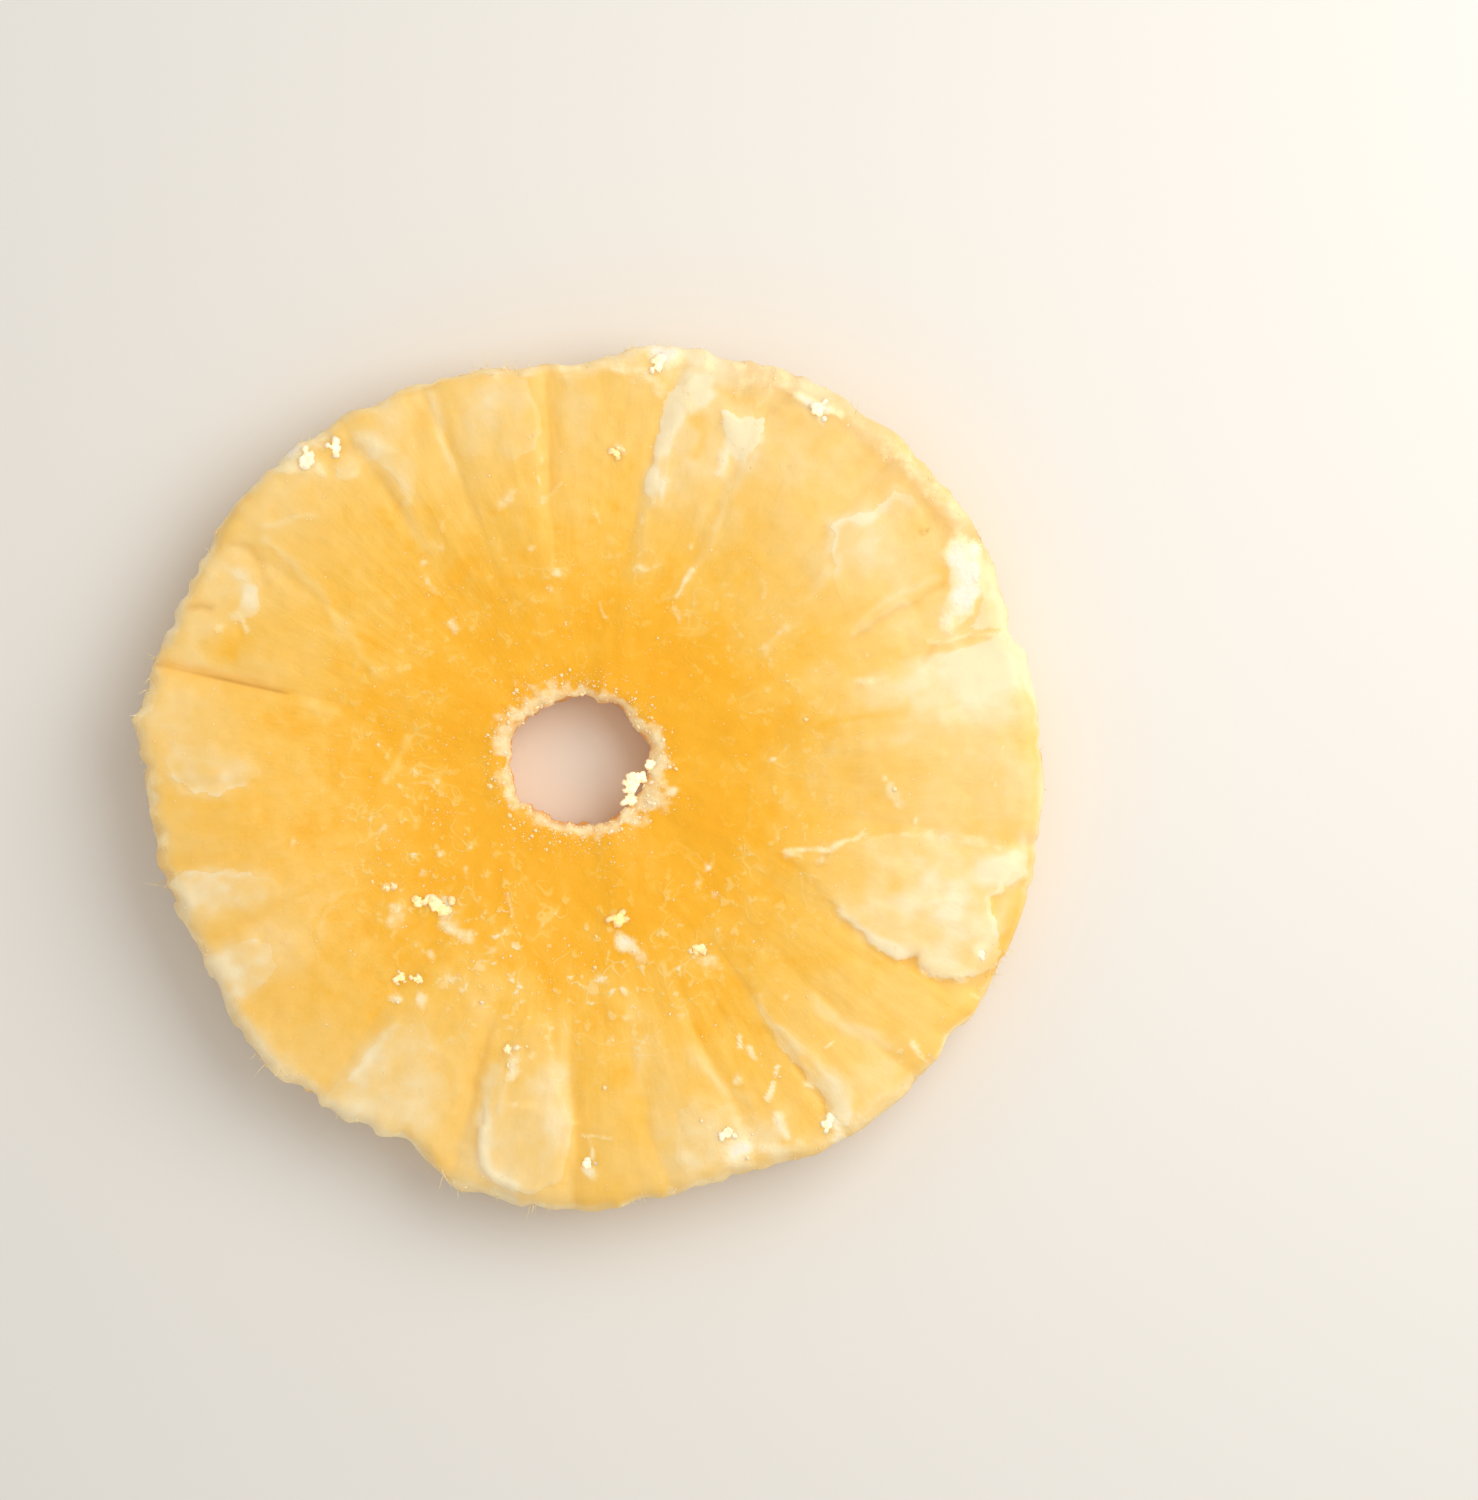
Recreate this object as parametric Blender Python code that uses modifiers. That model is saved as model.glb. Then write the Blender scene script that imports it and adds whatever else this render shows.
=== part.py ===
"""A candied pineapple ring lying on its flat underside.

The ring is one solid. A rounded section is turned round the hole, and its points are then moved
to the uneven outline, to the wedges of flesh between their grooves, and to the torn flap, the
tongue and the crack that the real slice has. A few large crumbs of sugar are joined on.

Places on the ring are given as an angle round it, a share of the way from the hole (0) to the
outer edge (1), and a level from the underside (0) to the top (1). +X is at 0 degrees and the
angles run anticlockwise seen from above. The origin is under the middle of the ring's box.
"""

import math
import random

import bpy
import numpy as np
from mathutils import Matrix, Vector

MM = 0.001

# Driving sizes
RING_RADIUS = 35.8 * MM
HOLE_RADIUS = 5.65 * MM
HOLE_SHIFT = (-1.2 * MM, 1.35 * MM)
RIM_THICKNESS = 8.4 * MM
CORE_THICKNESS = 6.4 * MM
OUTER_ROUND = 2.2 * MM
HOLE_ROUND = 1.1 * MM

# How finely the section and the turn are divided
TURN_STEPS = 176
TOP_STEPS = 12
UNDERSIDE_STEPS = 7
CORNER_STEPS = 3

# Bulges and dents of the outer edge: angle and half width in degrees, height in millimetres
OUTLINE_LOBES = (
    (44.0, 32.0, 1.95),
    (344.5, 31.5, 1.50),
    (163.0, 27.5, 0.90),
    (172.0, 8.5, 1.05),
    (139.0, 13.5, 0.80),
    (83.0, 5.0, 0.70),
    (94.0, 15.5, -1.80),
    (205.5, 6.5, -0.75),
    (238.0, 11.0, -1.20),
    (243.5, 4.5, -1.00),
    (290.5, 15.5, -1.05),
    (304.0, 10.0, 0.85),
    (19.5, 2.5, -0.90),
)

# Wedges of flesh, each from its own angle to the next one's: start in degrees, height of its
# arch in millimetres, share at which it starts to rise, lean of its arch (under 1 leans to the
# start), and depth in millimetres of the groove at its start
WEDGES = (
    (19.5, 0.25, 0.60, 1.0, 0.75),
    (30.0, 0.65, 0.55, 1.0, 0.35),
    (46.0, 0.50, 0.45, 1.0, 0.30),
    (63.5, 0.60, 0.40, 1.2, 0.55),
    (78.0, 0.35, 0.45, 1.0, 0.65),
    (97.5, 0.80, 0.45, 0.7, 0.70),
    (113.5, 0.55, 0.50, 1.3, 0.35),
    (126.0, 0.30, 0.35, 1.0, 0.45),
    (147.0, 0.60, 0.45, 1.0, 0.45),
    (165.5, 0.85, 0.50, 0.8, 0.60),
    (182.0, 0.30, 0.55, 1.0, 0.50),
    (193.0, 0.65, 0.55, 1.0, 0.40),
    (204.0, 0.65, 0.65, 1.0, 0.40),
    (213.5, 0.25, 0.45, 1.0, 0.50),
    (229.5, 0.80, 0.45, 1.0, 0.45),
    (250.0, 0.45, 0.45, 0.9, 0.70),
    (267.0, 0.30, 0.50, 1.0, 0.50),
    (280.0, 0.50, 0.55, 1.2, 0.30),
    (293.0, 0.25, 0.50, 1.0, 0.35),
    (306.0, 0.65, 0.45, 0.6, 0.60),
    (317.0, 0.45, 0.55, 0.6, 0.30),
    (329.0, 0.40, 0.35, 1.0, 0.30),
    (350.0, 0.85, 0.40, 1.4, 0.45),
)
GROOVE_HALF_WIDTH = math.radians(1.5)
WEDGE_RISE = 0.35

# The torn flap, the tongue, the two torn strips and the petal: X and Y of their corners from the
# ring's middle, in millimetres
FLAP = ((15.8, -6.1), (19.0, -5.9), (21.7, -5.2), (23.9, -4.6), (26.4, -4.4), (29.9, -4.9),
        (32.4, -5.5), (34.6, -5.9), (36.1, -6.4), (36.1, -7.8), (34.9, -8.8), (33.0, -9.9),
        (33.3, -11.8), (33.6, -13.7), (33.3, -15.6), (32.4, -16.3), (28.9, -16.6),
        (26.9, -15.6), (26.8, -14.9), (25.2, -15.2), (23.3, -13.8), (22.3, -12.7),
        (20.3, -10.7), (17.9, -8.3))
TONGUE = ((-5.8, -20.0), (-4.6, -19.7), (-3.8, -20.7), (-3.3, -23.5), (-2.3, -26.1),
          (-1.5, -28.6), (-1.8, -31.1), (-2.3, -33.2), (-4.6, -34.2), (-7.8, -33.6),
          (-9.2, -31.7), (-9.4, -29.5), (-8.7, -26.7), (-7.8, -23.8), (-6.5, -21.6))
WIDE_STRIP = ((5.9, 31.1), (6.4, 31.7), (8.3, 33.2), (9.9, 32.9), (10.2, 31.4), (9.3, 30.2),
              (7.7, 29.1), (6.9, 27.2), (6.3, 24.9), (5.7, 22.7), (4.9, 22.7), (4.4, 24.3),
              (5.2, 26.8), (5.7, 29.1))
NARROW_STRIP = ((10.7, 30.1), (14.2, 29.3), (13.7, 27.6), (12.5, 25.9), (11.5, 26.5),
                (10.5, 24.8), (10.1, 25.1), (11.1, 27.5))
PETAL = ((19.7, 19.3), (19.9, 20.8), (20.8, 21.5), (23.3, 21.8), (23.8, 22.7), (24.9, 23.8),
         (26.6, 23.0), (27.6, 21.4), (28.4, 19.7), (29.0, 17.5), (25.3, 14.6), (21.3, 12.2),
         (20.3, 15.4))

# Each raised layer: its outline, then its height and the width of its edge in millimetres
TORN_PATCHES = (
    (FLAP, 1.00, 0.9),
    (TONGUE, 0.75, 1.0),
    (WIDE_STRIP, 0.55, 0.9),
    (NARROW_STRIP, 0.50, 0.9),
    (PETAL, 0.30, 1.2),
)

# The ledge that shows past the flap's end, where the top layer is gone
LEDGE_ANGLES = (math.radians(330.0), math.radians(352.0))
LEDGE_SHARE = 0.955
LEDGE_DROP = 1.1 * MM

# The crack: angle, half width, where it starts and its depth
CRACK_ANGLE = math.radians(165.3)
CRACK_HALF_WIDTH = math.radians(1.0)
CRACK_START = 0.60
CRACK_DEPTH = 1.3 * MM

# The edge that curled up while drying: angle and half width in degrees, lift in millimetres
CURLS = ((62.0, 24.0, 1.3), (196.0, 30.0, 1.7), (300.0, 20.0, 0.9))
CURL_START = 0.45

SWELL = 0.32 * MM
UNDERSIDE_RELIEF = 0.55
UNDERSIDE_TURN = math.radians(100.0)
UNDERSIDE_SINK = 0.12 * MM
FRAY = 0.09 * MM
WALL_FOLD = 0.30 * MM

# Large crumbs of sugar: angle in degrees, share, size in millimetres
CRUMB_CLUMPS = (
    (332.0, -0.03, 1.70),
    (345.0, -0.02, 1.35),
    (322.0, -0.01, 1.25),
    (356.0, 0.00, 1.05),
    (283.0, 0.26, 1.60),
    (222.5, 0.37, 1.50),
    (226.0, 0.36, 1.35),
    (219.0, 0.39, 1.15),
    (211.0, 0.44, 1.05),
    (302.0, 0.40, 1.30),
    (231.5, 0.56, 1.05),
    (228.0, 0.59, 1.10),
    (84.5, 0.70, 1.20),
    (255.0, 0.61, 1.10),
    (335.5, 0.94, 1.05),
    (270.0, 0.88, 1.20),
    (291.0, 0.88, 1.30),
    (58.0, 0.94, 1.40),
    (80.5, 0.95, 1.50),
    (128.0, 0.93, 1.50),
    (132.0, 0.95, 1.40),
    (304.5, 0.94, 1.30),
)
CRUMB_SQUASH = 0.75
CRUMB_ROUGHNESS = 0.22
CRUMB_SEED = 11

FRUIT_COLOUR = (0.98, 0.66, 0.20, 1.0)
FRUIT_ROUGHNESS = 0.42


def clear_scene():
    for thing in list(bpy.data.objects):
        bpy.data.objects.remove(thing)


def new_collection(name):
    collection = bpy.data.collections.new(name)
    bpy.context.scene.collection.children.link(collection)
    return collection


def fruit_material():
    material = bpy.data.materials.new("candied_fruit")
    material.use_nodes = True
    shader = material.node_tree.nodes["Principled BSDF"]
    shader.inputs["Base Color"].default_value = FRUIT_COLOUR
    shader.inputs["Roughness"].default_value = FRUIT_ROUGHNESS
    shader.inputs["Metallic"].default_value = 0.0
    return material


def turned_by(angle, centre):
    """The angle from the centre to a place, between -180 and 180 degrees, in radians."""
    return (angle - centre + math.pi) % (2 * math.pi) - math.pi


def bell(distance, half_width):
    return np.exp(-((distance / half_width) ** 2))


def ramp(low, high, value):
    """Rises smoothly from 0 at low to 1 at high."""
    t = np.clip((value - low) / (high - low), 0.0, 1.0)
    return t * t * (3.0 - 2.0 * t)


def bells(angle, table):
    """The sum of the table's bells, in metres."""
    total = 0.0 * angle
    for centre, half_width, height in table:
        away = turned_by(angle, math.radians(centre))
        total = total + height * MM * bell(away, math.radians(half_width))
    return total


def outer_radius(angle, level):
    """Radius of the outer edge: its lobes, a fray of short waves, and folds that lean in the wall."""
    fray = FRAY * (np.sin(23 * angle + 1.0) + np.sin(37 * angle + 2.5) + 0.8 * np.sin(53 * angle))
    folds = WALL_FOLD * np.sin(17 * angle + 4.0 * level) * (1.0 - level)
    return RING_RADIUS + bells(angle, OUTLINE_LOBES) + fray + folds


def hole_radius(angle):
    """Radius of the hole: slightly lobed, as the core cutter's cut has shrunk."""
    lobes = 0.28 * np.cos(2 * angle) + 0.12 * np.sin(5 * angle + 1.0) + 0.08 * np.sin(9 * angle)
    return HOLE_RADIUS + lobes * MM


def plan_place(angle, share, level):
    """X and Y of a place: along the straight line from the hole's edge to the outer edge."""
    outer, inner = outer_radius(angle, level), hole_radius(angle)
    along = inner + share * (outer - inner)
    shift = 1.0 - np.clip(share, 0.0, 1.0)
    return (along * np.cos(angle) + shift * HOLE_SHIFT[0],
            along * np.sin(angle) + shift * HOLE_SHIFT[1])


def wedges(angle, share):
    """Each wedge is a low arch between two grooves, which rises towards the outer edge."""
    height = 0.0 * angle
    starts = [math.radians(wedge[0]) for wedge in WEDGES]
    ends = starts[1:] + [starts[0] + 2 * math.pi]
    for start, end, (_, arch, inner, lean, groove) in zip(starts, ends, WEDGES):
        t = np.clip(((angle - start) % (2 * math.pi)) / (end - start), 0.0, 1.0) ** lean
        rise = ramp(inner - WEDGE_RISE / 2, inner + WEDGE_RISE, share)
        cut = bell(turned_by(angle, start), GROOVE_HALF_WIDTH)
        height = height + MM * rise * (arch * np.sqrt(4.0 * t * (1.0 - t)) - groove * cut)
    return height


def inside_by(x, y, corners):
    """How far a point lies inside a closed outline, and negative outside it."""
    nearest = np.full(np.shape(x), np.inf)
    inside = np.zeros(np.shape(x), bool)
    for (x0, y0), (x1, y1) in zip(corners, corners[1:] + corners[:1]):
        dx, dy = x1 - x0, y1 - y0
        t = np.clip(((x - x0) * dx + (y - y0) * dy) / (dx * dx + dy * dy), 0.0, 1.0)
        nearest = np.minimum(nearest, np.hypot(x - x0 - t * dx, y - y0 - t * dy))
        crosses = (y0 > y) != (y1 > y)
        inside ^= crosses & (x < x0 + (y - y0) * dx / (dy if dy else 1e-12))
    return np.where(inside, nearest, -nearest)


def torn_patches(x, y):
    """The raised layers of flesh: each a flat step with a sloping edge."""
    height = 0.0 * x
    for corners, step, edge in TORN_PATCHES:
        depth = inside_by(x / MM, y / MM, corners)
        height = height + step * MM * ramp(-0.5 * edge, 0.5 * edge, depth)
    return height


def ledge(angle, share):
    """The drop past the flap's end."""
    low, high = LEDGE_ANGLES
    side = math.radians(1.5)
    across = ramp(low - side, low + side, angle) * (1.0 - ramp(high - side, high + side, angle))
    return -LEDGE_DROP * across * ramp(LEDGE_SHARE - 0.03, LEDGE_SHARE + 0.03, share)


def crack(angle, share):
    """A thin cut that runs in from the outer edge."""
    cut = bell(turned_by(angle, CRACK_ANGLE), CRACK_HALF_WIDTH)
    return -CRACK_DEPTH * cut * ramp(CRACK_START, CRACK_START + 0.12, share)


def swell(angle, share):
    """Three slow waves that wind round the ring."""
    waves = (np.sin(3 * angle + 5 * share) + np.sin(5 * angle - 7 * share + 2.0)
             + np.sin(8 * angle + 4 * share + 4.0))
    return SWELL * waves / 3.0


def curl(angle, share):
    """How far the dried edge has lifted off the surface below."""
    return bells(angle, CURLS) * ramp(CURL_START, 1.0, share)


def top_height(angle, share, x, y):
    """Height of the top face."""
    thickness = CORE_THICKNESS + (RIM_THICKNESS - CORE_THICKNESS) * ramp(0.0, 0.75, share)
    relief = wedges(angle, share) + torn_patches(x, y) + ledge(angle, share)
    return thickness + relief + crack(angle, share) + swell(angle, share) + curl(angle, share)


def underside_height(angle, share):
    """Height of the underside: flat patches at 0 that carry the ring, and hollows between them."""
    relief = UNDERSIDE_RELIEF * wedges(UNDERSIDE_TURN - angle, share)
    hollows = -relief + swell(2.0 - angle, share) - UNDERSIDE_SINK
    return np.maximum(hollows * ramp(0.10, 0.50, share), 0.0) + curl(angle, share)


def section_outline():
    """The turned section, as shares and levels, down its outer side: a rectangle with round corners."""
    width = RING_RADIUS - HOLE_RADIUS
    outer_u, outer_v = OUTER_ROUND / width, OUTER_ROUND / RIM_THICKNESS
    hole_u, hole_v = HOLE_ROUND / width, HOLE_ROUND / CORE_THICKNESS
    corners = (
        (1.0 - outer_u, 1.0 - outer_v, outer_u, outer_v, 90.0),
        (1.0 - outer_u, outer_v, outer_u, outer_v, 0.0),
        (hole_u, hole_v, hole_u, hole_v, -90.0),
        (hole_u, 1.0 - hole_v, hole_u, hole_v, -180.0),
    )
    arcs = []
    for u, v, reach_u, reach_v, first in corners:
        turns = [math.radians(first - 90.0 * i / CORNER_STEPS) for i in range(CORNER_STEPS + 1)]
        arcs.append([(u + reach_u * math.cos(a), v + reach_v * math.sin(a)) for a in turns])
    outer_top, outer_low, hole_low, hole_top = arcs
    top = [(hole_u + (1.0 - outer_u - hole_u) * (i / TOP_STEPS) ** 0.85, 1.0)
           for i in range(1, TOP_STEPS)]
    underside = [(1.0 - outer_u + (hole_u - 1.0 + outer_u) * i / UNDERSIDE_STEPS, 0.0)
                 for i in range(1, UNDERSIDE_STEPS)]
    return top + outer_top + outer_low + underside + hole_low + hole_top


def turned_ring(collection):
    """The section turned round the hole with a Screw modifier, as a plain even ring."""
    width = RING_RADIUS - HOLE_RADIUS
    points = [(HOLE_RADIUS + u * width, 0.0, v * RIM_THICKNESS) for u, v in section_outline()]
    edges = [(i, (i + 1) % len(points)) for i in range(len(points))]
    mesh = bpy.data.meshes.new("ring_section")
    mesh.from_pydata(points, edges, [])
    section = bpy.data.objects.new("ring_section", mesh)
    collection.objects.link(section)
    screw = section.modifiers.new("turn", "SCREW")
    screw.angle = 2 * math.pi
    screw.steps = screw.render_steps = TURN_STEPS
    screw.use_merge_vertices = True
    screw.merge_threshold = 0.00001
    screw.use_smooth_shade = True
    bpy.context.view_layer.update()
    graph = bpy.context.evaluated_depsgraph_get()
    turned = bpy.data.meshes.new_from_object(section.evaluated_get(graph))
    bpy.data.objects.remove(section)
    return turned


def shape_ring(mesh):
    """Moves every point of the even ring to its place on the real one."""
    co = np.zeros(len(mesh.vertices) * 3, np.float32)
    mesh.vertices.foreach_get("co", co)
    co = co.reshape(-1, 3).astype(float)
    angle = np.arctan2(co[:, 1], co[:, 0]) % (2 * math.pi)
    share = (np.hypot(co[:, 0], co[:, 1]) - HOLE_RADIUS) / (RING_RADIUS - HOLE_RADIUS)
    level = co[:, 2] / RIM_THICKNESS
    x, y = plan_place(angle, share, level)
    low = underside_height(angle, share)
    high = top_height(angle, share, x, y)
    shaped = np.stack([x, y, low + level * (high - low)], axis=1)
    mesh.vertices.foreach_set("co", shaped.astype(np.float32).ravel())
    mesh.update()


def add_crumb(collection, name, place, size, dice):
    """One crumb: a low-sided ball with its points moved in and out, squashed and turned."""
    bpy.ops.mesh.primitive_ico_sphere_add(subdivisions=1, radius=size / 2)
    crumb = bpy.context.object
    crumb.name = name
    for corner in crumb.data.vertices:
        corner.co *= 1.0 + dice.uniform(-CRUMB_ROUGHNESS, CRUMB_ROUGHNESS)
    turn = Matrix.Rotation(dice.uniform(0.0, 2 * math.pi), 4, "Z")
    squash = Matrix.Diagonal((1.0, 1.0, CRUMB_SQUASH, 1.0))
    crumb.data.transform(Matrix.Translation(place) @ squash @ turn)
    for other in crumb.users_collection:
        other.objects.unlink(crumb)
    collection.objects.link(crumb)


def join_crumbs(ring, material):
    """Joins the large crumbs to the ring with one union, and removes them."""
    crumbs = new_collection("crumbs")
    dice = random.Random(CRUMB_SEED)
    for number, (degrees, share, size) in enumerate(CRUMB_CLUMPS):
        angle = np.array(math.radians(degrees))
        at = np.array(share)
        x, y = plan_place(angle, at, 1.0)
        z = top_height(angle, np.clip(at, 0.04, 1.0), x, y)
        edge_drop = 0.9 * MM if not 0.03 < share < 0.95 else 0.0
        place = Vector((float(x), float(y), float(z) - edge_drop))
        add_crumb(crumbs, f"crumb_{number:02d}", place, size * MM, dice)
    union = ring.modifiers.new("crumbs", "BOOLEAN")
    union.operation = "UNION"
    union.operand_type = "COLLECTION"
    union.collection = crumbs
    union.solver = "MANIFOLD"
    bpy.context.view_layer.update()
    graph = bpy.context.evaluated_depsgraph_get()
    joined = bpy.data.meshes.new_from_object(ring.evaluated_get(graph))
    ring.modifiers.remove(union)
    ring.data = joined
    ring.data.materials.clear()
    ring.data.materials.append(material)
    for crumb in list(crumbs.objects):
        bpy.data.objects.remove(crumb)
    bpy.data.collections.remove(crumbs)


def centre_on_box(mesh):
    """Puts the origin under the middle of the ring's box."""
    co = np.zeros(len(mesh.vertices) * 3, np.float32)
    mesh.vertices.foreach_get("co", co)
    co = co.reshape(-1, 3)
    low, high = co.min(axis=0), co.max(axis=0)
    middle = ((low + high) / 2).astype(float)
    mesh.transform(Matrix.Translation((-middle[0], -middle[1], -float(low[2]))))


def make_ring():
    collection = new_collection("candied_pineapple")
    material = fruit_material()
    mesh = turned_ring(collection)
    mesh.name = "pineapple_ring"
    shape_ring(mesh)
    ring = bpy.data.objects.new("pineapple_ring", mesh)
    collection.objects.link(ring)
    join_crumbs(ring, material)
    centre_on_box(ring.data)
    ring.data.shade_smooth()
    ring.data.set_sharp_from_angle(angle=math.radians(50.0))


def main():
    clear_scene()
    make_ring()


main()
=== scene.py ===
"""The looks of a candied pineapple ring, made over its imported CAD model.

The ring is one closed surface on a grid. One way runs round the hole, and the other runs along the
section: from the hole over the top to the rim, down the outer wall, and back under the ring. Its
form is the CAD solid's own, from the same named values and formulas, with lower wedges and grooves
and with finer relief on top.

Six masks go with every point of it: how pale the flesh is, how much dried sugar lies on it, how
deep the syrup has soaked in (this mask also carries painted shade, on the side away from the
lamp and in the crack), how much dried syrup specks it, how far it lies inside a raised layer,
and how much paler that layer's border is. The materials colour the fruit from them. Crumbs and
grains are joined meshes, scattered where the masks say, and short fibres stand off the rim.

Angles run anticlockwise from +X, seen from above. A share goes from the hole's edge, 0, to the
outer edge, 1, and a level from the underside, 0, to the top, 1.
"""

import math

import bmesh
import bpy
import numpy as np
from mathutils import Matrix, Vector


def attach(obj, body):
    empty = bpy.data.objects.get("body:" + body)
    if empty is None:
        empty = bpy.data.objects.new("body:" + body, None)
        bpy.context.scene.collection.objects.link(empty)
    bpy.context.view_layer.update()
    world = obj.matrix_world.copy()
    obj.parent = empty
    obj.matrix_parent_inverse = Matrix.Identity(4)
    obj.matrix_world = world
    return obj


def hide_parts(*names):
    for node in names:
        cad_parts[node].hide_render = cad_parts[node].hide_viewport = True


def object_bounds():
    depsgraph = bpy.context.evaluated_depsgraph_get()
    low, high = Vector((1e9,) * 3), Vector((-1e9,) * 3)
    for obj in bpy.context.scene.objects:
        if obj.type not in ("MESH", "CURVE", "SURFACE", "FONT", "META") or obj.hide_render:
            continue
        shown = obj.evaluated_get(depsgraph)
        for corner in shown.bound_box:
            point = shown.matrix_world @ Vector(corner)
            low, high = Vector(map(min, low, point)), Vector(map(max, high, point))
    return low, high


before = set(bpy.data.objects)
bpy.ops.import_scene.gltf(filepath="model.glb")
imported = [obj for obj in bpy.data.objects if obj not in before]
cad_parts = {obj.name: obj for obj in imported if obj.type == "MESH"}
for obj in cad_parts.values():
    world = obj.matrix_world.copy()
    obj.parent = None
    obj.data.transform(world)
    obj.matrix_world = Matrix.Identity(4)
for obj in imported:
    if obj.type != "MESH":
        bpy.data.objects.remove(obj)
CAD_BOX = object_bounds()

MM = 0.001
TURN = 2 * math.pi
TINY = 1e-9

# Driving sizes of the ring, as in the CAD, whose outer corners are rounder
RING_RADIUS = 35.8 * MM
HOLE_RADIUS = 5.65 * MM
HOLE_SHIFT = (-1.2 * MM, 1.35 * MM)
RIM_THICKNESS = 8.4 * MM
CORE_THICKNESS = 6.4 * MM
OUTER_ROUND = 1.5 * MM
HOLE_ROUND = 1.1 * MM

# Bulges and dents of the outer edge: angle and half width in degrees, height in millimetres
OUTLINE_LOBES = (
    (44.0, 32.0, 1.95),
    (344.5, 31.5, 1.50),
    (163.0, 27.5, 0.90),
    (172.0, 8.5, 1.05),
    (139.0, 13.5, 0.80),
    (83.0, 5.0, 0.70),
    (94.0, 15.5, -1.80),
    (205.5, 6.5, -0.75),
    (238.0, 11.0, -1.20),
    (243.5, 4.5, -1.00),
    (290.5, 15.5, -1.05),
    (304.0, 10.0, 0.85),
    (19.5, 2.5, -0.90),
)

# Wedges of flesh, each from its own angle to the next one's: start in degrees, height of its
# arch in millimetres, share round which it starts to rise, lean of its arch (under 1 leans to the
# start), depth in millimetres of the groove at its start, and how much paler its outer part is
WEDGES = (
    (19.5, 0.25, 0.60, 1.0, 0.75, 0.08),
    (30.0, 0.65, 0.55, 1.0, 0.35, 0.09),
    (46.0, 0.50, 0.45, 1.0, 0.30, 0.12),
    (63.5, 0.60, 0.40, 1.2, 0.55, 0.14),
    (78.0, 0.35, 0.45, 1.0, 0.65, -0.02),
    (97.5, 0.80, 0.45, 0.7, 0.70, -0.01),
    (113.5, 0.55, 0.50, 1.3, 0.35, 0.00),
    (126.0, 0.30, 0.35, 1.0, 0.45, -0.05),
    (147.0, 0.60, 0.45, 1.0, 0.45, -0.02),
    (165.5, 0.85, 0.50, 0.8, 0.60, -0.07),
    (182.0, 0.30, 0.55, 1.0, 0.50, -0.08),
    (193.0, 0.65, 0.55, 1.0, 0.40, -0.07),
    (204.0, 0.65, 0.65, 1.0, 0.40, -0.02),
    (213.5, 0.25, 0.45, 1.0, 0.50, -0.10),
    (229.5, 0.80, 0.45, 1.0, 0.45, 0.02),
    (250.0, 0.45, 0.45, 0.9, 0.70, 0.06),
    (267.0, 0.30, 0.50, 1.0, 0.50, -0.12),
    (280.0, 0.50, 0.55, 1.2, 0.30, 0.00),
    (293.0, 0.25, 0.50, 1.0, 0.35, -0.14),
    (306.0, 0.65, 0.45, 0.6, 0.60, -0.06),
    (317.0, 0.45, 0.55, 0.6, 0.30, -0.10),
    (329.0, 0.40, 0.35, 1.0, 0.30, 0.02),
    (350.0, 0.85, 0.40, 1.4, 0.45, 0.12),
)
GROOVE_HALF_WIDTH = math.radians(1.5)
WEDGE_RISE = 0.35

# The sugar that dried over the wedges has filled them in, so they show lower than in the solid
ARCH_SHOWN = 0.55
GROOVE_SHOWN = 0.16
CRACK_SHOWN = 0.22

# How far the wedges' borders sway, in radians
BORDER_WANDER = 0.016

# The torn flap, the tongue, the two torn strips and the petal: X and Y of their corners from the
# ring's middle, in millimetres
FLAP = ((15.8, -6.1), (19.0, -5.9), (21.7, -5.2), (23.9, -4.6), (26.4, -4.4), (29.9, -4.9),
        (32.4, -5.5), (34.6, -5.9), (36.1, -6.4), (36.1, -7.8), (34.9, -8.8), (33.0, -9.9),
        (33.3, -11.8), (33.6, -13.7), (33.3, -15.6), (32.4, -16.3), (28.9, -16.6),
        (26.9, -15.6), (26.8, -14.9), (25.2, -15.2), (23.3, -13.8), (22.3, -12.7),
        (20.3, -10.7), (17.9, -8.3))
TONGUE = ((-5.8, -20.0), (-4.6, -19.7), (-3.8, -20.7), (-3.3, -23.5), (-2.3, -26.1),
          (-1.5, -28.6), (-1.8, -31.1), (-2.3, -33.2), (-4.6, -34.2), (-7.8, -33.6),
          (-9.2, -31.7), (-9.4, -29.5), (-8.7, -26.7), (-7.8, -23.8), (-6.5, -21.6))
WIDE_STRIP = ((5.9, 31.1), (6.4, 31.7), (8.3, 33.2), (9.9, 32.9), (10.2, 31.4), (9.3, 30.2),
              (7.7, 29.1), (6.9, 27.2), (6.3, 24.9), (5.7, 22.7), (4.9, 22.7), (4.4, 24.3),
              (5.2, 26.8), (5.7, 29.1))
NARROW_STRIP = ((10.7, 30.1), (14.2, 29.3), (13.7, 27.6), (12.5, 25.9), (11.5, 26.5),
                (10.5, 24.8), (10.1, 25.1), (11.1, 27.5))
PETAL = ((19.7, 19.3), (19.9, 20.8), (20.8, 21.5), (23.3, 21.8), (23.8, 22.7), (24.9, 23.8),
         (26.6, 23.0), (27.6, 21.4), (28.4, 19.7), (29.0, 17.5), (25.3, 14.6), (21.3, 12.2),
         (20.3, 15.4))

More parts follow.
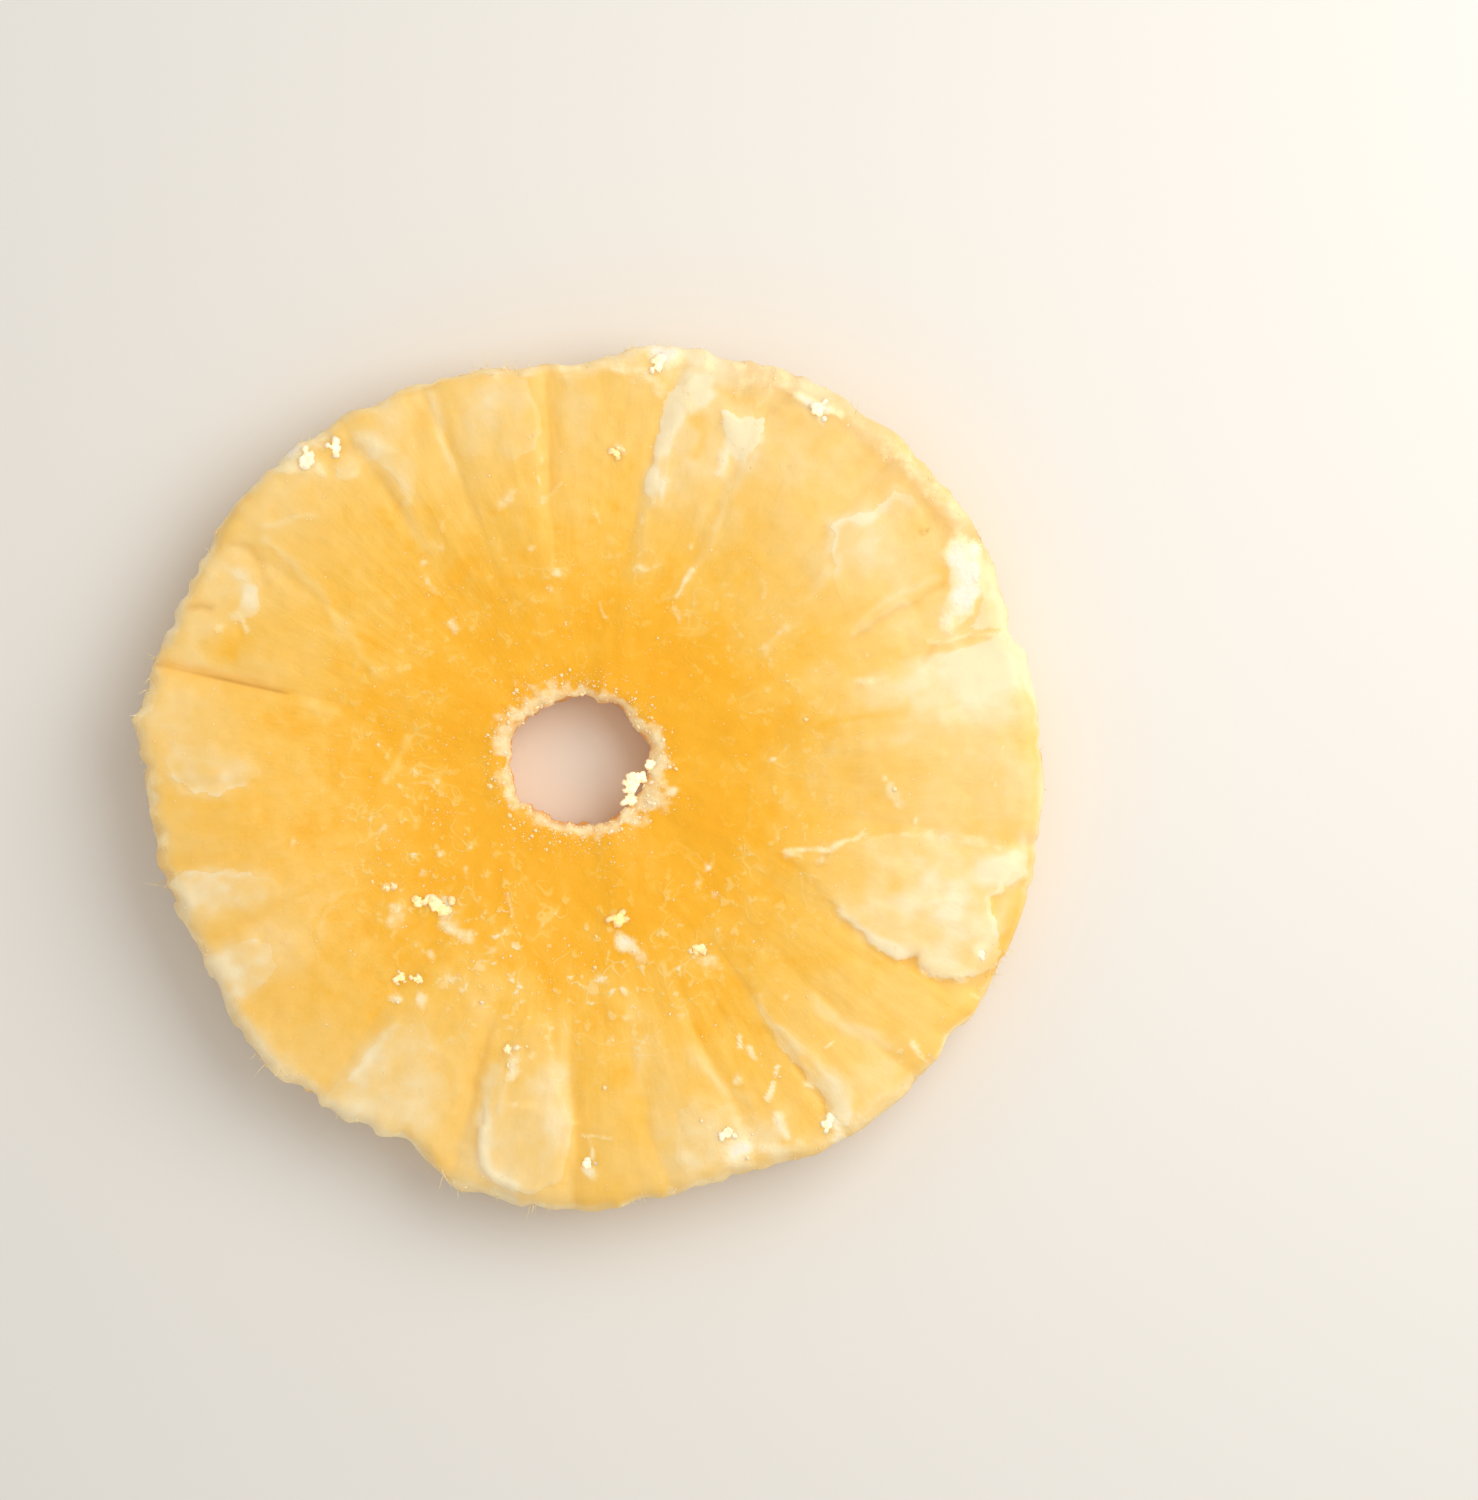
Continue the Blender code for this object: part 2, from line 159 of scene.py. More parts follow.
# Thin skins that only the looks have, in the same measure
CRUST_PATCH = ((29.7, 20.5), (30.8, 20.0), (31.9, 19.2), (31.9, 17.0), (32.3, 15.4),
               (31.4, 13.6), (30.2, 13.2), (29.7, 11.7), (28.8, 11.8), (28.6, 13.0),
               (29.3, 14.5), (29.3, 16.8), (28.9, 18.2), (29.3, 19.6))
UPPER_BROW = ((31.8, 19.4), (33.8, 18.6), (35.6, 13.4), (34.6, 12.2), (31.2, 12.3),
              (32.4, 14.2), (32.0, 16.4))
STRIP_FOOT = ((5.2, 27.4), (8.4, 26.4), (10.6, 26.8), (11.6, 25.2), (10.6, 22.6), (9.4, 19.6),
              (7.2, 20.6), (5.4, 22.6), (4.5, 24.4))
STRIP_HEAD = ((5.2, 33.6), (6.2, 32.4), (7.2, 31.4), (8.3, 32.3), (8.6, 33.4), (10.2, 34.0),
              (9.6, 35.0), (6.6, 35.6), (3.0, 35.2), (0.6, 34.6), (2.2, 33.4))
SMOOTH_WEDGE = ((-9.0, 33.4), (-5.4, 32.8), (-4.4, 30.8), (-4.2, 28.2), (-5.0, 26.8),
                (-6.4, 26.0), (-8.2, 27.2), (-9.0, 30.0))
TOP_LEFT_SHELL = ((-19.6, 28.6), (-17.8, 28.8), (-16.0, 26.8), (-14.4, 25.2), (-14.4, 23.6),
                  (-15.4, 22.0), (-15.9, 24.0), (-16.3, 25.2), (-18.0, 26.0), (-19.4, 26.8))
TOP_LEFT_CRUST = ((-26.4, 25.4), (-25.8, 26.9), (-24.2, 27.6), (-23.4, 26.4), (-22.4, 26.0),
                  (-22.0, 24.8), (-23.2, 24.7), (-24.6, 25.3))
TOP_LEFT_BLOB = ((-21.0, 26.0), (-20.0, 26.8), (-18.9, 26.2), (-19.0, 24.8), (-20.2, 24.2),
                 (-21.2, 25.0))
EYE_ARC = ((-30.0, 17.6), (-28.2, 17.0), (-27.5, 15.2), (-27.6, 13.4), (-28.8, 12.8),
           (-29.8, 13.1), (-28.8, 14.4), (-29.2, 16.0))
LEFT_CREST = ((-35.0, 1.6), (-34.2, -0.2), (-32.6, -1.2), (-30.6, -1.4), (-28.6, -0.8),
              (-27.0, 0.3), (-28.4, 1.7), (-31.0, 2.2), (-33.8, 2.1))
LOWER_CREST = ((-34.6, -8.6), (-33.6, -7.8), (-31.0, -7.6), (-28.2, -7.8), (-26.0, -8.2),
               (-24.4, -9.2), (-26.5, -10.3), (-29.5, -11.0), (-32.6, -11.6), (-33.8, -10.5))
ROUND_BLOB = ((-31.0, -14.8), (-29.8, -13.7), (-28.0, -13.2), (-26.4, -14.0), (-25.9, -15.4),
              (-26.8, -16.8), (-28.0, -18.0), (-29.8, -17.9), (-30.4, -16.6))
BROAD_WEDGE = ((-16.2, -20.2), (-18.2, -21.9), (-19.0, -23.4), (-20.4, -24.9), (-22.0, -26.2),
               (-20.8, -27.6), (-18.5, -29.0), (-15.0, -30.0), (-13.4, -28.4), (-12.6, -25.0),
               (-12.4, -22.0), (-13.8, -20.4))
BOTTOM_SKIN = ((7.4, -27.2), (8.6, -26.6), (9.8, -27.6), (11.4, -26.6), (13.2, -27.6),
               (14.4, -28.4), (15.2, -27.2), (16.2, -28.6), (16.0, -31.0), (12.6, -31.4),
               (10.6, -32.0), (8.4, -33.2), (6.8, -31.4), (7.2, -29.0))
RIDGE_WEDGE = ((13.6, -18.4), (15.2, -20.2), (17.2, -21.6), (19.2, -23.6), (21.2, -25.0),
               (21.6, -27.6), (20.6, -29.0), (19.6, -28.4), (19.0, -26.4), (17.0, -23.8),
               (15.2, -21.6), (14.0, -20.0))
CURLED_LEAF = ((-23.0, -12.2), (-22.0, -10.6), (-20.4, -9.6), (-18.4, -8.8), (-16.6, -10.0),
               (-14.8, -12.6), (-15.6, -15.6), (-19.4, -16.6), (-22.4, -15.0))

# Each layer: its outline, its height and the width of its edge in millimetres, how much paler it
# is, how much sugar lies on it, how much paler it turns right at its border, and the side, in
# degrees, where that border is sharp. None is all round
TORN_PATCHES = (
    (FLAP, 0.50, 0.90, 0.15, 0.00, 0.16, 290.0),
    (TONGUE, 0.42, 0.80, 0.03, 0.00, 0.08, 270.0),
    (WIDE_STRIP, 0.20, 1.00, 0.22, 0.10, 0.14, 160.0),
    (NARROW_STRIP, 0.20, 0.70, 0.18, 0.10, 0.18, 30.0),
    (PETAL, 0.12, 1.10, 0.03, 0.00, 0.10, 135.0),
    (CRUST_PATCH, 0.08, 1.10, 0.20, 0.74, 0.00, None),
    (UPPER_BROW, 0.04, 1.40, 0.14, 0.00, 0.08, 270.0),
    (STRIP_FOOT, 0.05, 2.00, 0.09, 0.00, 0.00, None),
    (STRIP_HEAD, 0.06, 1.40, 0.18, 0.16, 0.00, None),
    (SMOOTH_WEDGE, 0.08, 1.40, 0.08, 0.00, 0.08, 0.0),
    (TOP_LEFT_SHELL, 0.02, 1.60, 0.10, 0.00, 0.05, 240.0),
    (TOP_LEFT_CRUST, 0.14, 0.90, 0.20, 0.56, 0.00, None),
    (TOP_LEFT_BLOB, 0.06, 1.00, 0.12, 0.10, 0.06, 270.0),
    (EYE_ARC, 0.06, 1.40, 0.24, 0.00, 0.10, 330.0),
    (LEFT_CREST, 0.05, 2.20, 0.22, 0.00, 0.12, 265.0),
    (LOWER_CREST, 0.05, 2.20, 0.22, 0.00, 0.12, 100.0),
    (ROUND_BLOB, 0.05, 1.60, 0.24, 0.00, 0.08, 20.0),
    (BROAD_WEDGE, 0.04, 2.40, 0.13, 0.00, 0.04, 130.0),
    (BOTTOM_SKIN, 0.05, 2.60, 0.12, 0.14, 0.04, 140.0),
    (RIDGE_WEDGE, 0.18, 0.80, 0.12, 0.00, 0.16, 215.0),
    (CURLED_LEAF, 0.05, 0.70, -0.03, 0.00, -0.06, 150.0),
)

# How uneven a layer's tone is, and how far noise bends its outline
LAYER_CLOUDS = 0.45
LAYER_BEND = 0.24 * MM
LAYER_FRAY = 0.20 * MM

# The cell of the finest noise, at the layers' borders and the hole
FINE = 0.5 * MM

# The ledge that shows past the flap's end, where the top layer is gone
LEDGE_ANGLES = (math.radians(330.0), math.radians(352.0))
LEDGE_SHARE = 0.955
LEDGE_DROP = 1.1 * MM

# Painted shade on the side of the ring away from the lamp, laid into the syrup mask so the flesh
# is a little duller there: how much, angle, half width
SHADE = 0.15
SHADE_ANGLE = math.radians(200.0)
SHADE_HALF_WIDTH = 0.62

# The crack: angle, half width, where it starts, its depth, and its dark line, which is partly the
# syrup that has soaked into it and partly painted shade in the cut
CRACK_ANGLE = math.radians(165.3)
CRACK_HALF_WIDTH = math.radians(1.0)
CRACK_START = 0.60
CRACK_DEPTH = 1.3 * MM
CRACK_STAIN_AND_SHADE = 1.20

# The edge that curled up while drying: angle and half width in degrees, lift in millimetres
CURLS = ((62.0, 24.0, 1.3), (196.0, 30.0, 1.7), (300.0, 20.0, 0.9))
CURL_START = 0.45

# Slow waves of the whole ring, the underside's shallower wedges, and the waves of the outer wall
SWELL = 0.32 * MM
UNDERSIDE_RELIEF = 0.55
UNDERSIDE_TURN = math.radians(100.0)
UNDERSIDE_SINK = 0.12 * MM
FRAY = 0.09 * MM
WALL_FOLD = 0.30 * MM

# Large crumbs of sugar: angle in degrees, share, size in millimetres
CRUMB_CLUMPS = (
    (332.0, -0.03, 1.70),
    (345.0, -0.02, 1.35),
    (322.0, -0.01, 1.25),
    (356.0, 0.00, 1.05),
    (283.0, 0.26, 1.60),
    (222.5, 0.37, 1.50),
    (226.0, 0.36, 1.35),
    (219.0, 0.39, 1.15),
    (211.0, 0.44, 1.05),
    (302.0, 0.40, 1.30),
    (231.5, 0.56, 1.05),
    (228.0, 0.59, 1.10),
    (84.5, 0.70, 1.20),
    (255.0, 0.61, 1.10),
    (335.5, 0.94, 1.05),
    (270.0, 0.88, 1.20),
    (291.0, 0.88, 1.30),
    (58.0, 0.94, 1.40),
    (80.5, 0.95, 1.50),
    (128.0, 0.93, 1.50),
    (132.0, 0.95, 1.40),
    (304.5, 0.94, 1.30),
)

# The dried skin along the rim: its width, and where it is wider by how many millimetres, as angle
# and half width in degrees
THIN_SKIN = 0.45 * MM
RIM_SKIN = ((84.0, 15.0, 1.9), (57.0, 16.0, 2.0), (30.0, 12.0, 1.0), (127.0, 9.0, 1.2),
            (222.0, 12.0, 1.0), (304.0, 14.0, 1.7), (250.0, 12.0, 0.7), (185.0, 24.0, 1.1))

# Steps of the ring's grid: round the hole, then along the parts of its section
ROUND_STEPS = 740
TOP_STEPS = 98
UNDERSIDE_STEPS = 8
WALL_STEPS = 4
CORNER_STEPS = 5

# Broad tones of the flesh: angle in degrees, half width in radians, how much paler, and the shares
# between which the tone comes in and between which it goes again
NEVER = (2.0, 3.0)
BROAD_TONES = (
    (20.0, 0.9, 0.08, (0.20, 0.40), NEVER),
    (20.0, 1.0, -0.21, (0.72, 0.97), NEVER),
    (225.0, 1.1, -0.07, (0.08, 0.25), (0.42, 0.62)),
)

# The flesh is palest outward: its tone at the hole, what it gains a share, and between which shares
CORE_TONE = 0.12
OUTWARD_TONE = 0.74
CLEAR_CORE, PALE_RIM = 0.16, 0.92

# What each of these adds to the paleness where it is full
RIDGE_TONE = 0.80
SKIN_TONE = 0.18
CREST_TONE = 0.05
BROW_TONE = 0.30
STREAK_TONE = 0.020
CLOUD_TONE = 0.055

# How thick the sugar lies on the rim's skin and at the hole, and the syrup in the deepest groove
SKIN_SUGAR = 0.26
HOLE_SUGAR = 0.52
GROOVE_SYRUP = 0.05

# The crusted band at the hole's edge: its width as a share, and where it is wider by how much, as
# angle in degrees and half width in radians
HOLE_BAND = 0.019
WIDE_HOLE_BAND = ((135.0, 0.7, 0.022), (335.0, 0.7, 0.028))

# The border of the nearly white wedge at the right
BROW_ANGLE = math.radians(19.5)

# Marks on the top face, each a stroke along a few points in millimetres from the ring's middle,
# or a dot at one point: half width in millimetres, strength, points. A strength under 0 darkens
PALE_MARKS = (
    (0.50, 0.24, ((11.2, 24.0), (10.8, 21.4), (9.8, 18.8), (8.0, 17.0), (6.8, 15.0))),
    (0.70, 0.20, ((4.6, 24.6), (4.6, 22.0), (4.2, 19.6), (3.8, 17.0))),
    (0.50, 0.16, ((12.8, 25.2), (13.6, 26.6))),
    (1.20, 0.14, ((12.0, 21.6), (10.8, 19.4))),
    (0.50, 0.30, ((19.6, 19.0), (19.9, 20.6), (21.0, 21.3), (22.9, 21.6))),
    (0.50, 0.18, ((23.9, 22.2), (24.8, 23.5), (26.4, 22.8))),
    (2.20, 0.08, ((24.0, 19.0), (26.4, 18.0))),
    (0.40, 0.20, ((28.6, 16.4), (26.0, 15.4), (24.0, 14.4), (22.0, 12.6))),
    (0.35, 0.20, ((25.8, 14.4), (23.8, 13.2), (21.6, 12.0))),
    (0.60, 0.12, ((18.6, 15.6), (20.6, 18.0))),
    (3.20, 0.12, ((32.6, 8.0),)),
    (0.30, 0.20, ((-34.6, 0.2), (-33.4, -0.9), (-31.8, -1.4), (-30.2, -1.2), (-28.4, -0.7))),
    (0.30, 0.20, ((-34.0, -7.9), (-32.0, -7.7), (-29.6, -7.8), (-26.6, -8.1))),
    (0.90, -0.12, ((-34.4, -2.2), (-31.0, -2.7), (-27.4, -2.0))),
    (0.80, -0.10, ((-33.4, -6.6), (-30.0, -6.4), (-26.0, -6.9))),
    (1.50, 0.26, ((22.0, 7.0), (26.0, 7.4))),
    (0.80, 0.14, ((17.4, 7.6), (20.0, 8.2))),
    (0.40, -0.16, ((19.0, 4.2), (22.0, 4.9), (25.8, 5.4))),
    (0.60, 0.12, ((20.0, 2.4), (26.0, 3.4))),
    (1.30, -0.30, ((-30.0, 10.8), (-29.0, 11.4))),
    (0.60, -0.24, ((8.6, 26.8), (9.3, 28.4), (8.8, 29.6))),
    (0.50, -0.20, ((2.8, 34.3), (4.4, 34.4), (5.6, 34.1))),
    (0.60, -0.16, ((11.4, 31.6), (13.0, 31.2))),
    (2.00, -0.12, ((-3.0, -14.8), (1.0, -15.0))),
    (1.80, 0.06, ((34.6, 1.4), (36.0, -2.4))),
    (0.40, 0.24, ((14.3, 10.3), (16.2, 12.5))),
    (0.50, 0.16, ((17.6, 14.5), (19.5, 17.0))),
    (2.40, 0.20, ((28.4, -8.6), (30.6, -12.0))),
    (1.30, 0.26, ((27.4, -9.0), (26.0, -10.4))),
    (1.40, 0.40, ((32.6, -7.6), (35.0, -6.9))),
    (0.55, 0.34, ((20.6, -10.8), (22.7, -12.9), (25.2, -14.9))),
    (1.40, -0.14, ((17.6, -7.4), (20.4, -8.6))),
    (0.50, 0.18, ((29.0, -4.8), (33.0, -5.4))),
    (0.80, 0.16, ((20.2, -10.2), (22.0, -11.2))),
    (1.20, -0.36, ((34.9, -9.9), (34.5, -12.6), (33.9, -15.4))),
    (0.55, 0.22, ((-15.2, 22.0), (-14.7, 20.4), (-13.0, 19.0))),
    (0.55, 0.30, ((-13.2, 31.6), (-12.9, 29.6), (-12.1, 27.2), (-11.2, 26.0))),
    (1.40, 0.16, ((-14.6, 31.4), (-16.0, 30.2))),
    (1.60, 0.12, ((-9.6, 31.0), (-10.4, 28.0))),
    (1.30, 0.16, ((-1.6, 31.4), (-0.6, 28.4))),
    (0.90, 0.12, ((-5.8, 20.0), (-6.4, 17.4))),
    (2.40, 0.16, ((-31.0, 16.5),)),
    (0.80, 0.14, ((-33.6, 14.8), (-34.6, 12.0))),
    (0.24, 0.16, ((-26.8, 20.6), (-24.6, 21.3), (-22.8, 21.6))),
    (0.45, 0.22, ((-27.0, 19.6), (-24.6, 17.6), (-22.0, 15.0), (-20.4, 12.0), (-18.8, 9.8),
                  (-17.8, 8.4))),
    (0.80, 0.14, ((-28.4, 10.0), (-26.0, 9.0))),
    (0.80, 0.24, ((-23.2, 6.2), (-21.6, 5.2))),
    (0.50, 0.20, ((-20.5, 6.3),)),
    (2.40, 0.16, ((-34.0, 5.6), (-31.6, 4.2))),
    (0.60, 0.16, ((-35.0, 4.2), (-32.0, 5.2), (-30.2, 4.4))),
    (0.28, 0.34, ((-15.4, 3.4), (-15.6, 2.0), (-16.2, 0.8), (-17.0, -0.2))),
    (1.50, -0.14, ((-33.0, -4.0), (-29.0, -4.6))),
    (0.30, 0.16, ((-18.3, -8.7), (-19.6, -9.4), (-21.2, -10.0), (-22.2, -11.4), (-22.2, -13.0))),
    (1.20, 0.14, ((-25.8, -12.4), (-24.0, -15.0))),
    (0.50, 0.24, ((-16.0, -20.4), (-17.8, -22.4), (-19.6, -24.6))),
    (2.60, 0.10, ((-14.0, -23.6), (-13.6, -27.0))),
    (1.10, 0.12, ((-11.0, -22.0), (-10.6, -26.0))),
    (0.60, 0.34, ((-7.9, -24.0), (-8.8, -27.0), (-9.1, -29.6), (-8.6, -32.4), (-6.8, -33.8))),
    (0.40, 0.18, ((-7.2, -24.6), (-7.6, -27.6))),
    (1.50, 0.20, ((-3.4, -24.4), (-3.0, -28.6))),
    (0.60, 0.14, ((-5.0, -21.0), (-3.9, -20.4))),
    (0.50, 0.22, ((13.5, -18.4), (14.6, -20.2), (16.4, -21.8), (18.2, -23.4), (20.4, -25.2))),
    (0.80, 0.24, ((20.4, -25.6), (20.9, -27.6))),
    (0.60, 0.24, ((18.4, -18.4), (20.4, -20.2), (22.4, -21.0), (24.4, -22.0))),
    (2.00, 0.10, ((24.0, -23.4), (22.0, -25.4))),
    (0.60, 0.22, ((8.2, -22.6), (9.4, -24.2), (11.0, -25.6), (13.0, -26.8))),
    (2.40, 0.10, ((10.4, -29.4), (14.2, -29.6))),
    (0.70, 0.20, ((4.1, -21.8), (3.9, -25.6))),
    (1.10, 0.10, ((6.0, -24.0), (5.6, -29.0))),
    (1.10, 0.14, ((1.6, -17.0), (3.0, -19.2))),
    (1.20, 0.16, ((-7.8, -17.6), (-5.4, -17.2))),
    (1.00, 0.16, ((-11.8, -16.2), (-10.0, -17.6), (-8.4, -19.6))),
    (1.60, 0.07, ((-13.4, -10.0), (-11.4, -12.6))),
    (2.00, 0.08, ((-16.6, -10.4), (-14.4, -13.6))),
    (1.00, 0.10, ((-17.0, -4.4), (-15.2, -6.0))),
    (0.80, 0.12, ((-3.0, 16.8), (-2.6, 14.6))),
    (0.90, 0.10, ((5.2, 17.4), (4.4, 15.4))),
    (1.40, 0.08, ((2.0, 13.0), (6.4, 12.0))),
    (2.60, -0.10, ((28.5, 1.0), (33.0, -0.6))),
    (0.90, 0.12, ((-33.0, 9.6), (-30.0, 8.9), (-26.4, 7.9))),
    (1.30, 0.20, ((-33.4, -11.0), (-30.6, -17.6), (-24.6, -25.4), (-20.4, -28.6), (-15.0, -30.6))),
    (0.90, 0.16, ((-18.6, 28.0), (-16.4, 25.6), (-15.0, 23.0))),
    (0.90, 0.12, ((-6.4, 23.0), (-5.4, 19.0))),
    (0.70, 0.12, ((-0.8, 22.0), (-0.6, 18.4))),
    (1.30, 0.08, ((-7.4, 9.6), (-2.6, 10.6), (2.4, 11.6))),
    (1.20, 0.10, ((18.0, -5.4), (22.4, -3.6))),
    (0.70, 0.14, ((15.0, -21.0), (18.0, -24.6), (19.6, -26.6))),
    (0.60, 0.20, ((13.4, 28.4), (12.4, 25.6), (11.4, 23.0))),
    (2.40, -0.12, ((25.6, 20.8), (27.8, 16.6))),
    (0.80, 0.34, ((35.6, -5.0), (35.0, -8.6), (33.6, -12.6))),
    (2.40, -0.12, ((33.0, -5.0), (32.6, -9.0), (31.0, -13.4))),
)
